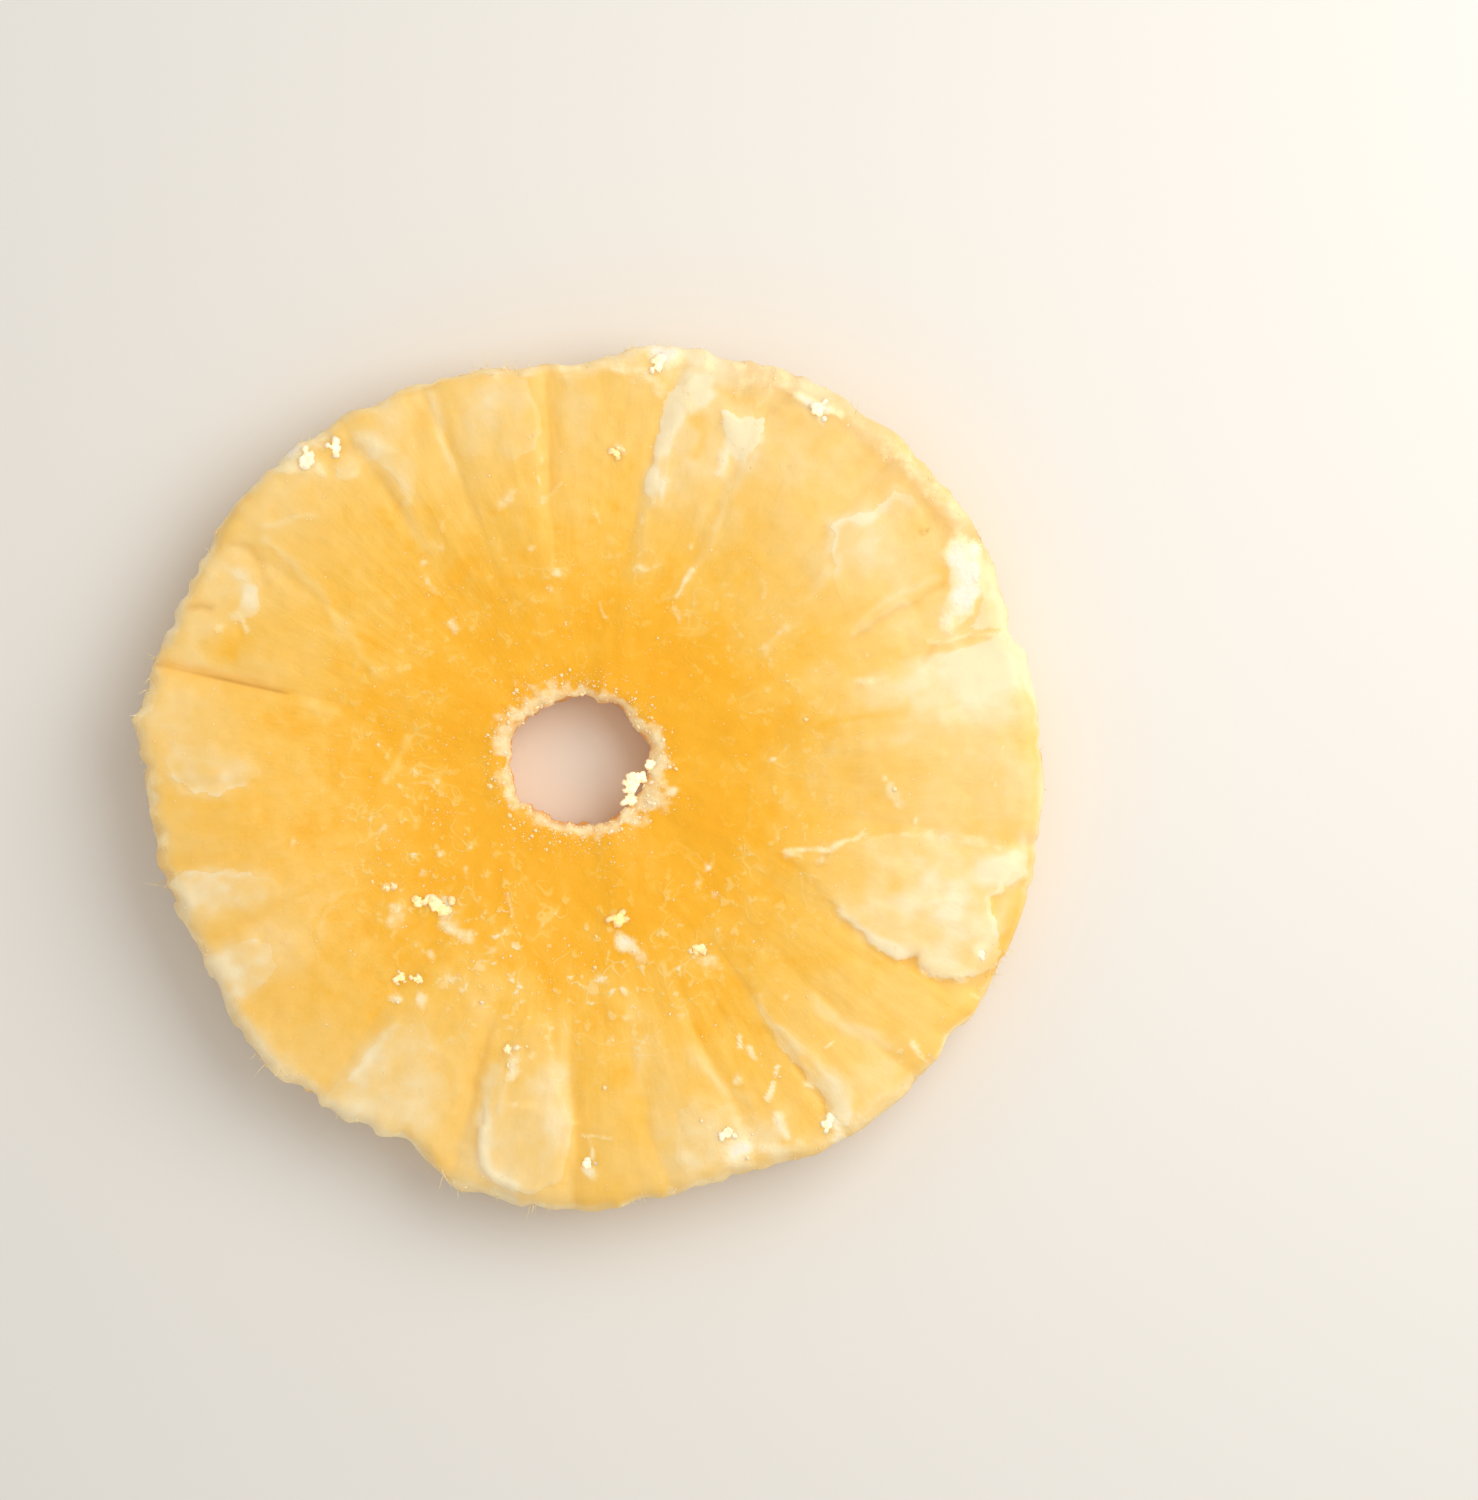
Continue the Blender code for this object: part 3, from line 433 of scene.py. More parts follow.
SUGAR_MARKS = (
    (0.50, 0.95, ((17.2, 31.2), (18.8, 30.6), (20.6, 29.9))),
    (0.30, 0.45, ((18.5, 30.4), (18.4, 29.5), (18.9, 29.0))),
    (0.45, 0.40, ((15.8, 32.6), (17.4, 31.4))),
    (0.60, 0.40, ((0.4, 34.4), (1.6, 33.8), (3.4, 33.2), (5.2, 32.6), (5.6, 31.8))),
    (0.90, 0.90, ((5.4, 35.4), (6.4, 34.9))),
    (0.60, 0.40, ((7.6, 30.8), (8.2, 30.4))),
    (0.50, 0.60, ((9.6, 33.9), (9.9, 33.6))),
    (0.55, 0.60, ((11.8, 33.9), (12.6, 33.6))),
    (0.50, 0.30, ((12.6, 32.8), (12.2, 31.6))),
    (0.60, 0.30, ((14.0, 33.0), (14.6, 31.4), (13.2, 30.4))),
    (0.60, 0.26, ((24.0, 26.6), (26.4, 25.2))),
    (0.30, 0.40, ((24.2, 26.2), (25.2, 26.4))),
    (0.30, 0.40, ((28.4, 23.6),)),
    (0.36, 0.50, ((8.1, 17.1), (6.8, 15.0))),
    (0.40, 0.45, ((2.2, 27.4), (2.9, 27.0))),
    (0.36, 0.30, ((1.6, 29.3),)),
    (0.36, 0.30, ((0.3, 21.6), (0.6, 21.2))),
    (0.40, 0.28, ((4.3, 21.2),)),
    (0.34, 0.36, ((8.2, 19.0),)),
    (0.36, 0.32, ((3.8, 17.6), (4.6, 17.3), (5.6, 17.4))),
    (0.34, 0.28, ((14.2, 17.0), (14.0, 14.9))),
    (0.34, 0.34, ((0.8, 14.4), (1.1, 13.1))),
    (0.36, 0.34, ((6.8, 13.8), (7.4, 12.8))),
    (0.36, 0.34, ((5.8, 11.4), (6.6, 11.0))),
    (0.22, 0.60, ((24.8, 9.8),)),
    (0.30, 0.30, ((22.6, 10.2),)),
    (0.40, 0.34, ((21.7, 8.1), (23.4, 8.0))),
    (0.30, 0.36, ((29.8, 12.3), (30.8, 12.8))),
    (0.30, 0.45, ((28.0, 11.2), (31.0, 11.55), (34.6, 11.7))),
    (0.50, 0.35, ((34.8, 6.8),)),
    (0.34, 0.50, ((15.9, -6.3), (18.0, -6.1), (20.0, -5.7), (21.7, -5.2), (22.4, -4.6))),
    (0.40, 0.28, ((22.4, -4.8), (24.6, -4.6), (28.0, -4.4), (31.5, -5.0), (33.4, -5.9))),
    (0.60, 0.50, ((16.2, -6.4), (16.8, -6.4))),
    (0.60, 0.36, ((18.6, -6.9), (19.0, -6.6))),
    (0.45, 0.40, ((33.4, -9.6), (34.6, -8.8), (35.6, -8.0))),
    (0.35, 0.50, ((20.3, -10.9), (20.9, -11.2))),
    (0.50, 0.50, ((27.4, -15.9), (28.8, -16.7), (30.6, -16.4))),
    (0.36, 0.34, ((31.6, -17.8), (32.4, -18.6))),
    (0.50, 0.70, ((31.9, -14.3),)),
    (0.50, 0.40, ((36.0, -8.0),)),
    (0.80, 0.45, ((24.6, -0.8), (25.3, -1.9))),
    (0.45, 0.40, ((24.0, -0.1),)),
    (0.30, 0.60, ((26.7, -3.4),)),
    (0.30, 0.55, ((33.2, 0.2), (33.2, -0.6))),
    (0.25, 0.70, ((33.8, 2.4),)),
    (0.45, 0.80, ((6.3, -1.3),)),
    (0.35, 0.50, ((14.8, 1.4),)),
    (0.40, 0.55, ((9.5, -7.5),)),
    (0.40, 0.45, ((10.2, -9.7),)),
    (0.35, 0.40, ((8.8, -8.6),)),
    (0.80, 0.85, ((2.6, -13.6),)),
    (0.60, 0.50, ((3.4, -14.2), (4.1, -14.9))),
    (0.80, 0.50, ((9.7, -15.4),)),
    (0.45, 0.40, ((16.2, -18.1),)),
    (0.70, 0.50, ((-24.6, 27.0), (-22.4, 28.0))),
    (0.60, 0.30, ((-19.0, 28.0), (-16.6, 27.0))),
    (0.22, 0.34, ((-4.2, 26.6), (-4.3, 24.6), (-4.1, 22.4), (-4.4, 22.0))),
    (0.26, 0.34, ((-2.4, 24.2), (-3.6, 23.2), (-4.2, 22.2))),
    (0.45, 0.34, ((-6.6, 23.4), (-6.9, 22.4))),
    (0.36, 0.30, ((-12.0, 21.4), (-12.4, 20.4))),
    (0.70, 0.60, ((-2.4, 33.8),)),
    (0.60, 0.40, ((-7.6, 34.0), (-7.8, 33.0))),
    (0.45, 0.45, ((-14.0, 17.9),)),
    (0.40, 0.40, ((-13.6, 16.4), (-13.0, 15.4))),
    (0.45, 0.50, ((-11.6, 12.8), (-11.2, 12.2))),
    (0.50, 0.40, ((-12.6, 19.0),)),
    (0.45, 0.55, ((-3.0, 16.9),)),
    (0.35, 0.40, ((-3.6, 15.5),)),
    (0.50, 0.40, ((-5.0, 19.0),)),
    (0.50, 0.45, ((-30.8, 12.3),)),
    (0.45, 0.40, ((-28.2, 12.0), (-29.0, 13.2))),
    (0.45, 0.30, ((-18.2, 8.6),)),
    (0.35, 0.25, ((-15.0, -0.5), (-13.6, -0.3), (-12.6, -1.6))),
    (0.60, 0.50, ((-12.9, -10.4), (-12.3, -11.9), (-11.6, -12.5), (-10.3, -13.0))),
    (0.75, 0.50, ((-17.0, -9.1),)),
    (0.80, 0.45, ((-16.4, -10.8), (-16.3, -11.6))),
    (0.50, 0.50, ((-13.9, -7.9),)),
    (0.35, 0.50, ((-12.4, -6.2),)),
    (0.45, 0.35, ((-24.4, -5.3),)),
    (0.30, 0.30, ((-10.6, -7.6), (-9.8, -9.8), (-8.8, -10.6))),
    (0.30, 0.26, ((-7.0, -9.8), (-6.7, -12.0))),
    (0.35, 0.26, ((-10.2, -12.9), (-8.5, -14.0), (-6.8, -14.9))),
    (0.45, 0.85, ((-16.0, -18.1),)),
    (0.60, 0.70, ((-14.2, -18.4),)),
    (0.45, 0.50, ((-13.2, -14.6),)),
    (0.40, 0.35, ((-11.9, -16.4), (-12.3, -17.2))),
    (0.75, 0.65, ((-6.6, -23.6), (-6.5, -24.3))),
    (0.50, 0.50, ((-5.0, -23.0),)),
    (0.45, 0.50, ((-6.4, -26.8),)),
    (0.65, 0.75, ((-0.2, -32.5),)),
    (0.22, 0.50, ((0.0, -30.0), (0.1, -31.6))),
    (0.22, 0.40, ((-0.8, -29.6), (1.6, -29.7))),
    (0.70, 0.50, ((-27.4, -23.9), (-25.4, -24.5))),
    (0.60, 0.70, ((-4.1, -35.6),)),
    (0.50, 0.35, ((-11.6, -33.0),)),
    (0.40, 0.50, ((2.6, -17.8),)),
    (0.50, 0.40, ((3.0, -19.6),)),
    (0.40, 0.35, ((0.7, -16.8),)),
    (0.40, 0.35, ((0.8, -20.2),)),
    (0.35, 0.35, ((-1.0, -21.7),)),
    (0.35, 0.35, ((1.8, -21.6),)),
    (0.30, 0.75, ((12.3, -21.2), (12.3, -22.3))),
    (0.40, 0.55, ((13.2, -22.4), (13.4, -23.2))),
    (0.22, 0.70, ((15.6, -23.9), (15.2, -24.6))),
    (0.22, 0.75, ((14.8, -25.2), (14.4, -26.6))),
    (0.45, 0.50, ((12.1, -25.0),)),
    (0.35, 0.50, ((17.6, -25.2), (18.2, -25.4))),
    (0.70, 0.75, ((20.0, -28.2), (20.1, -29.6))),
    (0.60, 0.34, ((20.6, -29.2), (23.4, -28.0), (26.6, -25.8), (28.6, -23.0))),
    (0.40, 0.45, ((25.4, -22.3),)),
    (0.35, 0.55, ((26.5, -22.0), (27.3, -23.2))),
    (0.35, 0.45, ((25.4, -23.4),)),
    (0.28, 0.50, ((19.4, -22.4), (20.0, -21.8))),
    (0.90, 0.90, ((11.8, -30.8), (12.8, -30.6))),
    (0.45, 0.60, ((15.3, -27.8), (15.8, -29.6))),
    (0.70, 0.45, ((14.2, -30.6), (15.8, -30.6))),
    (0.45, 0.50, ((6.7, -34.2),)),
)
SYRUP_MARKS = (
    (0.16, 1.00, ((27.2, 20.1), (28.0, 20.4))),
    (0.30, 0.30, ((29.0, 15.8), (26.2, 14.4), (24.2, 13.2), (21.8, 11.6))),
    (0.34, 0.18, ((-5.0, 32.2), (-4.0, 30.0), (-3.5, 27.0), (-3.5, 24.0), (-4.0, 22.6))),
    (0.60, 0.14, ((-14.2, 30.0), (-13.8, 27.4))),
    (0.30, 0.55, ((-33.0, 14.0), (-31.5, 13.8))),
    (0.30, 0.30, ((-29.4, 19.4), (-28.0, 19.0), (-27.2, 17.6), (-26.6, 16.4))),
    (0.55, 0.30, ((-22.6, 27.2), (-21.4, 27.8), (-19.8, 27.2))),
    (0.55, 0.10, ((-18.2, 25.2), (-16.8, 24.6), (-16.6, 22.8))),
    (0.40, 0.14, ((-8.5, -20.4), (-9.2, -24.0), (-9.8, -26.4), (-10.1, -30.0))),
    (0.24, 0.30, ((14.1, -20.4), (16.8, -23.6), (18.9, -26.6), (19.5, -29.0))),
    (0.34, 0.26, ((18.6, 28.9), (19.2, 29.4))),
    (0.26, 0.30, ((28.4, 11.0), (27.4, 9.6))),
    (0.40, 0.35, ((26.7, -14.6), (26.0, -15.6))),
    (0.45, 0.40, ((18.6, -7.0), (19.2, -6.2))),
    (1.70, 0.42, ((13.0, 33.4), (21.0, 29.6), (27.4, 23.6), (31.0, 19.6))),
)
MARK_WANDER = 0.28 * MM

# The band of dried specks round the hole: its radius and half width, and where it is thickest
SPECK_RADIUS = 15.0 * MM
SPECK_REACH = 6.5 * MM
SPECK_ANGLE = math.radians(245.0)

# Relief that only the looks have, in metres
FIBRE_RELIEF = 0.03 * MM
LUMP_RELIEF = 0.08 * MM
SUGAR_RELIEF = 0.09 * MM
SYRUP_DIP = 0.16 * MM
RIDGE_RELIEF = 0.32 * MM
RIM_RAG = 0.20 * MM
HOLE_RAG = 0.26 * MM

# Where the rim is most ragged, and how much more than elsewhere
RAG_ANGLE = math.radians(200.0)
MORE_RAGGED = 1.1

# The light: an even sky, and a lamp with its size and place in metres and its power in watts
SKY_COLOUR = (1.0, 0.985, 0.96, 1.0)
SKY_STRENGTH = 0.605
LAMP_COLOUR = (1.0, 0.99, 0.96)
LAMP_POWER = 0.455
LAMP_SIZE = 0.22
LAMP_PLACE = (0.15, 0.075, 0.21)

# The photograph's frame, and where the ring stands in it
PHOTO_WIDTH, PHOTO_HEIGHT = 1478, 1500
RING_MIDDLE_PIXEL = (591.5, 777.5)
RING_WIDTH_PIXELS = 913
LENS = 100.0
SENSOR = 36.0


def turned_by(angle, centre):
    """The angle from the centre to a place, between -180 and 180 degrees, in radians."""
    return (angle - centre + math.pi) % TURN - math.pi


def bell(distance, half_width):
    """e to the power of minus the square of distance over half width."""
    return np.exp(-((distance / half_width) ** 2))


def ramp(low, high, value):
    """Rises smoothly from 0 at low to 1 at high: t t (3 - 2 t)."""
    t = np.clip((value - low) / (high - low), 0.0, 1.0)
    return t * t * (3.0 - 2.0 * t)


def bells(angle, table):
    """The sum of the table's bells, in metres."""
    total = 0.0 * angle
    for centre, half_width, height in table:
        away = turned_by(angle, math.radians(centre))
        total = total + height * MM * bell(away, math.radians(half_width))
    return total


def eased(values, i, j, next_i, next_j, u, v):
    """Values of a lattice between its four nearest corners, eased both ways."""
    u, v = u * u * (3.0 - 2.0 * u), v * v * (3.0 - 2.0 * v)
    near = values[i, j] * (1.0 - u) + values[next_i, j] * u
    far = values[i, next_j] * (1.0 - u) + values[next_i, next_j] * u
    return near * (1.0 - v) + far * v


def ring_noise(angle, share, around, outward, seed):
    """Random waves from -1 to 1 that join up round the ring: so many cells round it and outward."""
    values = np.random.default_rng(seed).uniform(-1.0, 1.0, (around, outward + 2))
    u, v = angle / TURN % 1.0 * around, np.clip(share, 0.0, 1.0) * outward
    i, j = np.floor(u).astype(int) % around, np.floor(v).astype(int)
    return eased(values, i, j, (i + 1) % around, j + 1, u % 1.0, v % 1.0)


def plane_noise(x, y, cell, seed):
    """Random waves from -1 to 1 over the plane, with cells of one size in metres."""
    size = 256
    values = np.random.default_rng(seed).uniform(-1.0, 1.0, (size, size))
    u, v = x / cell % size, y / cell % size
    i, j = np.floor(u).astype(int) % size, np.floor(v).astype(int) % size
    return eased(values, i, j, (i + 1) % size, (j + 1) % size, u % 1.0, v % 1.0)


def outer_radius(angle, level):
    """Radius of the outer edge: its lobes, a fray of short waves, and the wall's leaning folds."""
    fray = FRAY * (np.sin(23 * angle + 1.0) + np.sin(37 * angle + 2.5) + 0.8 * np.sin(53 * angle))
    folds = WALL_FOLD * np.sin(17 * angle + 4.0 * level) * (1.0 - level)
    return RING_RADIUS + bells(angle, OUTLINE_LOBES) + fray + folds


def hole_radius(angle):
    """Radius of the hole, which has shrunk unevenly: waves that fit 2, 5 and 9 times round it."""
    lobes = 0.28 * np.cos(2 * angle) + 0.12 * np.sin(5 * angle + 1.0) + 0.08 * np.sin(9 * angle)
    return HOLE_RADIUS + lobes * MM


def plan_place(angle, share, level):
    """X and Y of a place: along the straight line from the hole's edge to the outer edge."""
    outer, inner = outer_radius(angle, level), hole_radius(angle)
    along = inner + share * (outer - inner)
    shift = 1.0 - np.clip(share, 0.0, 1.0)
    return (along * np.cos(angle) + shift * HOLE_SHIFT[0],
            along * np.sin(angle) + shift * HOLE_SHIFT[1])


def wedge_spans():
    """Where each wedge starts and ends, in radians, with its row of the table."""
    starts = [math.radians(wedge[0]) for wedge in WEDGES]
    return zip(starts, starts[1:] + [starts[0] + TURN], WEDGES)


def wedges(angle, share):
    """Each wedge is a low arch between two grooves, which rises towards the outer edge.

    With t from 0 to 1 across the wedge, the arch is 4 t (1 - t) to the power of 0.75.
    """
    height = 0.0 * angle
    for start, end, (_, arch, inner, lean, groove, _) in wedge_spans():
        t = np.clip(((angle - start) % TURN) / (end - start), 0.0, 1.0) ** lean
        rise = ramp(inner - WEDGE_RISE / 2, inner + WEDGE_RISE, share)
        cut = GROOVE_SHOWN * groove * bell(turned_by(angle, start), GROOVE_HALF_WIDTH)
        height = height + MM * rise * (ARCH_SHOWN * arch * (4.0 * t * (1.0 - t)) ** 0.75 - cut)
    return height


def wandering(angle, share):
    """The angle with a slow random sway, so that the wedges' borders don't run straight."""
    sway = ring_noise(angle, share, 40, 5, 11) + 0.5 * ring_noise(angle, share, 110, 14, 12)
    return angle + BORDER_WANDER * sway * ramp(0.2, 0.5, share)


def line_distance(x, y, points, next_points):
    """The distance to the nearest of a few straight lines, each from a point to its next one."""
    nearest = np.full(np.shape(x), np.inf)
    for (x0, y0), (x1, y1) in zip(points, next_points):
        dx, dy = x1 - x0, y1 - y0
        t = np.clip(((x - x0) * dx + (y - y0) * dy) / (dx * dx + dy * dy + TINY), 0.0, 1.0)
        nearest = np.minimum(nearest, np.hypot(x - x0 - t * dx, y - y0 - t * dy))
    return nearest


def inside_by(x, y, corners):
    """How far a point lies inside a closed outline, and negative outside it."""
    next_corners = corners[1:] + corners[:1]
    inside = np.zeros(np.shape(x), bool)
    for (x0, y0), (x1, y1) in zip(corners, next_corners):
        crosses = (y0 > y) != (y1 > y)
        inside ^= crosses & (x < x0 + (y - y0) * (x1 - x0) / (y1 - y0 or TINY))
    nearest = line_distance(x, y, corners, next_corners)
    return np.where(inside, nearest, -nearest)


def ledge(angle, share):
    """The drop past the flap's end: a soft step down at one share, between two angles."""
    low, high = LEDGE_ANGLES
    side = math.radians(1.5)
    across = ramp(low - side, low + side, angle) * (1.0 - ramp(high - side, high + side, angle))
    return -LEDGE_DROP * across * ramp(LEDGE_SHARE - 0.03, LEDGE_SHARE + 0.03, share)


def crack(angle, share):
    """A thin cut that runs in from the outer edge: a bell across its angle, fading inward."""
    cut = bell(turned_by(angle, CRACK_ANGLE), 0.6 * CRACK_HALF_WIDTH)
    return -CRACK_SHOWN * CRACK_DEPTH * cut * ramp(CRACK_START, CRACK_START + 0.12, share)


def swell(angle, share):
    """Three slow waves that wind round the ring."""
    waves = (np.sin(3 * angle + 5 * share) + np.sin(5 * angle - 7 * share + 2.0)
             + np.sin(8 * angle + 4 * share + 4.0))
    return SWELL * waves / 3.0


def curl(angle, share):
    """How far the dried edge has lifted off what it lies on: the table's bells, rising outward."""
    return bells(angle, CURLS) * ramp(CURL_START, 1.0, share)


def underside_height(angle, share):
    """Height of the underside: flat patches at 0 that carry the ring, and hollows between them."""
    relief = UNDERSIDE_RELIEF * wedges(UNDERSIDE_TURN - angle, share)
    hollows = -relief + swell(2.0 - angle, share) - UNDERSIDE_SINK
    return np.maximum(hollows * ramp(0.10, 0.50, share), 0.0) + curl(angle, share)


def torn_layers(x, y):
    """Height and masks of the raised layers: each outline, warped a little, is a soft step.

    A layer has lifted most on its sharp side. Depth is how far a point lies inside the nearest
    layer, in millimetres, and lip is how much paler that layer's border is. The flesh's material
    draws the sharp borders from these two.
    """
    ragged_x = (x + LAYER_BEND * plane_noise(x, y, 1.1 * MM, 21)
                + LAYER_FRAY * plane_noise(x, y, FINE, 25))
    ragged_y = (y + LAYER_BEND * plane_noise(x, y, 1.1 * MM, 22)
                + LAYER_FRAY * plane_noise(x, y, FINE, 26))
    clouds = 1.0 + LAYER_CLOUDS * (plane_noise(x, y, 2.6 * MM, 23) + plane_noise(x, y, MM, 24))
    height, pale, sugar, lip = 0.0 * x, 0.0 * x, 0.0 * x, 0.0 * x
    depth = np.full(np.shape(x), -9.0)
    for corners, step, edge, paler, sugared, border, side in TORN_PATCHES:
        within = inside_by(ragged_x / MM, ragged_y / MM, corners)
        inside = ramp(-0.5 * edge, 0.5 * edge, within)
        middle_x, middle_y = np.mean(corners, axis=0) * MM
        aside = np.arctan2(y - middle_y, x - middle_x) - math.radians(side or 0.0)
        clear = 1.0 if side is None else ramp(-0.5, 0.6, np.cos(aside))
        height = height + step * MM * inside * (0.4 + 0.6 * clear)
        pale = pale + paler * inside * clouds
        sugar = sugar + sugared * inside * clouds
        if border:
            lip = np.where(within > depth, border * clear, lip)
            depth = np.maximum(depth, within)
    return height, pale, sugar, depth, lip


def marks(x, y, table):
    """The strongest stroke at each place, plus the strongest that darkens.

    Each stroke is a bell across its line of points, with an uneven width, and noise bends it.
    """
    uneven = 1.0 + 0.45 * plane_noise(x, y, 1.0 * MM, 33)
    x, y = ((x + MARK_WANDER * plane_noise(x, y, 1.4 * MM, 31)) / MM,
            (y + MARK_WANDER * plane_noise(x, y, 1.4 * MM, 32)) / MM)
    strongest, darkest = 0.0 * x, 0.0 * x
    for half_width, strength, points in table:
        nearest = line_distance(x, y, points, points[1:] or points)
        stroke = strength * bell(nearest, half_width * uneven)
        strongest, darkest = np.maximum(strongest, stroke), np.minimum(darkest, stroke)
    return strongest + darkest


def wedge_paleness(angle, share):
    """Each wedge's own paleness over its outer part, with a soft change at its borders."""
    border = math.radians(0.8)
    pale = 0.0 * angle
    for start, end, wedge in wedge_spans():
        middle, half = (start + end) / 2, (end - start) / 2
        away = np.abs(turned_by(angle, middle))
        pale = pale + wedge[-1] * (1.0 - ramp(half - border, half + border, away))
    return pale * ramp(0.28, 0.66, share)


def bright_brow(angle, share):
    """The wedge before the brow's angle is nearly white, up to its sharp border and outward."""
    away = turned_by(angle, BROW_ANGLE)
    fan = ramp(math.radians(-15.0), math.radians(-4.0), away)
    border = 1.0 - ramp(math.radians(-0.35), math.radians(0.25), away)
    return fan * border * ramp(0.66, 0.88, share)


def wedge_crests(angle, share):
    """The flesh is paler on each wedge's crest, by 4 t (1 - t), and clearer by its grooves."""
    crests = 0.0 * angle
    for start, end, _ in wedge_spans():
        t = ((angle - start) % TURN) / (end - start)
        crests = crests + np.where(t < 1.0, 4.0 * t * (1.0 - t) - 0.6, 0.0)
    return crests * ramp(0.5, 0.85, share)


def grooves(angle, share):
    """1 along the middle of the deepest groove, fading to its sides and towards the hole."""
    deepest = 0.0 * angle
    full_depth = max(wedge[4] for wedge in WEDGES)
    for start, _, (_, _, inner, _, groove, _) in wedge_spans():
        cut = bell(turned_by(angle, start), 0.6 * GROOVE_HALF_WIDTH)
        rise = ramp(inner - WEDGE_RISE / 2, inner + WEDGE_RISE, share)
        deepest = np.maximum(deepest, groove / full_depth * cut * rise)
    return deepest


def hole_frost(angle, share):
    """The crusted edge of the hole: a ragged band, widest at the upper left and at the right."""
    width = HOLE_BAND
    for centre, half_width, wider in WIDE_HOLE_BAND:
        width = width + wider * bell(turned_by(angle, math.radians(centre)), half_width)
    x, y = plan_place(angle, share, 1.0)
    ragged = plane_noise(x, y, 1.3 * MM, 41) + 0.8 * plane_noise(x, y, FINE, 42)
    width = width * np.maximum(1.0 + 0.6 * ragged, 0.25)
    return HOLE_SUGAR * (1.0 - ramp(0.3 * width, 2.2 * width, share))


def rim_skin(angle, share):
    """The dried skin along the outer edge: thin all round, and wider where the table says."""
    width = THIN_SKIN + np.maximum(bells(angle, RIM_SKIN), 0.0)
    fine, slow = ring_noise(angle, share, 120, 30, 43), ring_noise(angle, share, 40, 9, 44)
    width = width * (1.0 + (0.35 * fine + 0.3 * slow)) / (RING_RADIUS - HOLE_RADIUS)
    return 1.0 - ramp(0.35 * width, 1.15 * width, 1.0 - share)


def broad_tones(angle, share):
    """The sum of the table's tones, each a bell round the ring between its shares."""
    total = 0.0 * angle
    for centre, half_width, paler, coming, going in BROAD_TONES:
        across = bell(turned_by(angle, math.radians(centre)), half_width)
        total = total + paler * across * ramp(*coming, share) * (1.0 - ramp(*going, share))
    return total


def flesh_tone(angle, share, x, y, ridges, skin):
    """How pale the flesh is without its layers: paler outward, with wedges, ridges and clouds."""
    clouds = plane_noise(x, y, 4.6 * MM, 52) + 0.7 * plane_noise(x, y, 2.1 * MM, 53)
    streaks = ring_noise(angle, share, 90, 5, 51) + 0.5 * ring_noise(angle, share, 210, 8, 54)
    outward = np.clip(share, CLEAR_CORE, PALE_RIM) - CLEAR_CORE
    pale = CORE_TONE + OUTWARD_TONE * outward + wedge_paleness(angle, share)
    pale = pale + ridges + SKIN_TONE * skin + CREST_TONE * wedge_crests(angle, share)
    pale = pale + BROW_TONE * bright_brow(angle, share) + broad_tones(angle, share)
    return pale + STREAK_TONE * streaks * ramp(0.25, 0.6, share) + CLOUD_TONE * clouds


def fruit_masks(angle, share, x, y):
    """The masks of the top face, by name, and the height of its layers and ridges."""
    layer_height, layer_pale, layer_sugar, depth, lip = torn_layers(x, y)
    ridges = RIDGE_TONE * marks(x, y, PALE_MARKS)
    skin = rim_skin(angle, share)
    sugar = layer_sugar + marks(x, y, SUGAR_MARKS)
    sugar = np.maximum(sugar, hole_frost(angle, share))
    patchy = 1.0 + 0.9 * plane_noise(x, y, 1.3 * MM, 55)
    sugar = np.maximum(sugar, SKIN_SUGAR * skin * patchy)
    syrup = marks(x, y, SYRUP_MARKS) + GROOVE_SYRUP * grooves(angle, share)
    # Painted shade: the side away from the lamp is darkened in the syrup colour
    painted_shade = bell(turned_by(angle, SHADE_ANGLE), SHADE_HALF_WIDTH)
    syrup = syrup + SHADE * painted_shade * ramp(0.35, 0.8, share)
    masks = {"paleness": layer_pale + flesh_tone(angle, share, x, y, ridges, skin),
             "sugar": sugar, "syrup": syrup, "depth": depth, "lip": lip}
    return masks, layer_height + RIDGE_RELIEF * ridges


def fine_relief(angle, share, x, y, sugar, syrup):
    """Fibres that run outward, soft lumps, knobs of sugar, and dips where syrup has soaked in."""
    fibres = ring_noise(angle, share, 230, 6, 61) + 0.6 * ring_noise(angle, share, 370, 10, 62)
    lumps = plane_noise(x, y, 2.4 * MM, 63) + 0.6 * plane_noise(x, y, 0.9 * MM, 64)
    knobs = 0.5 + np.abs(plane_noise(x, y, 0.75 * MM, 65)) + 0.5 * plane_noise(x, y, 1.3 * MM, 66)
    relief = FIBRE_RELIEF * fibres * ramp(0.25, 0.6, share) + LUMP_RELIEF * lumps
    return relief + SUGAR_RELIEF * np.clip(sugar, 0.0, 1.0) * knobs - SYRUP_DIP * syrup


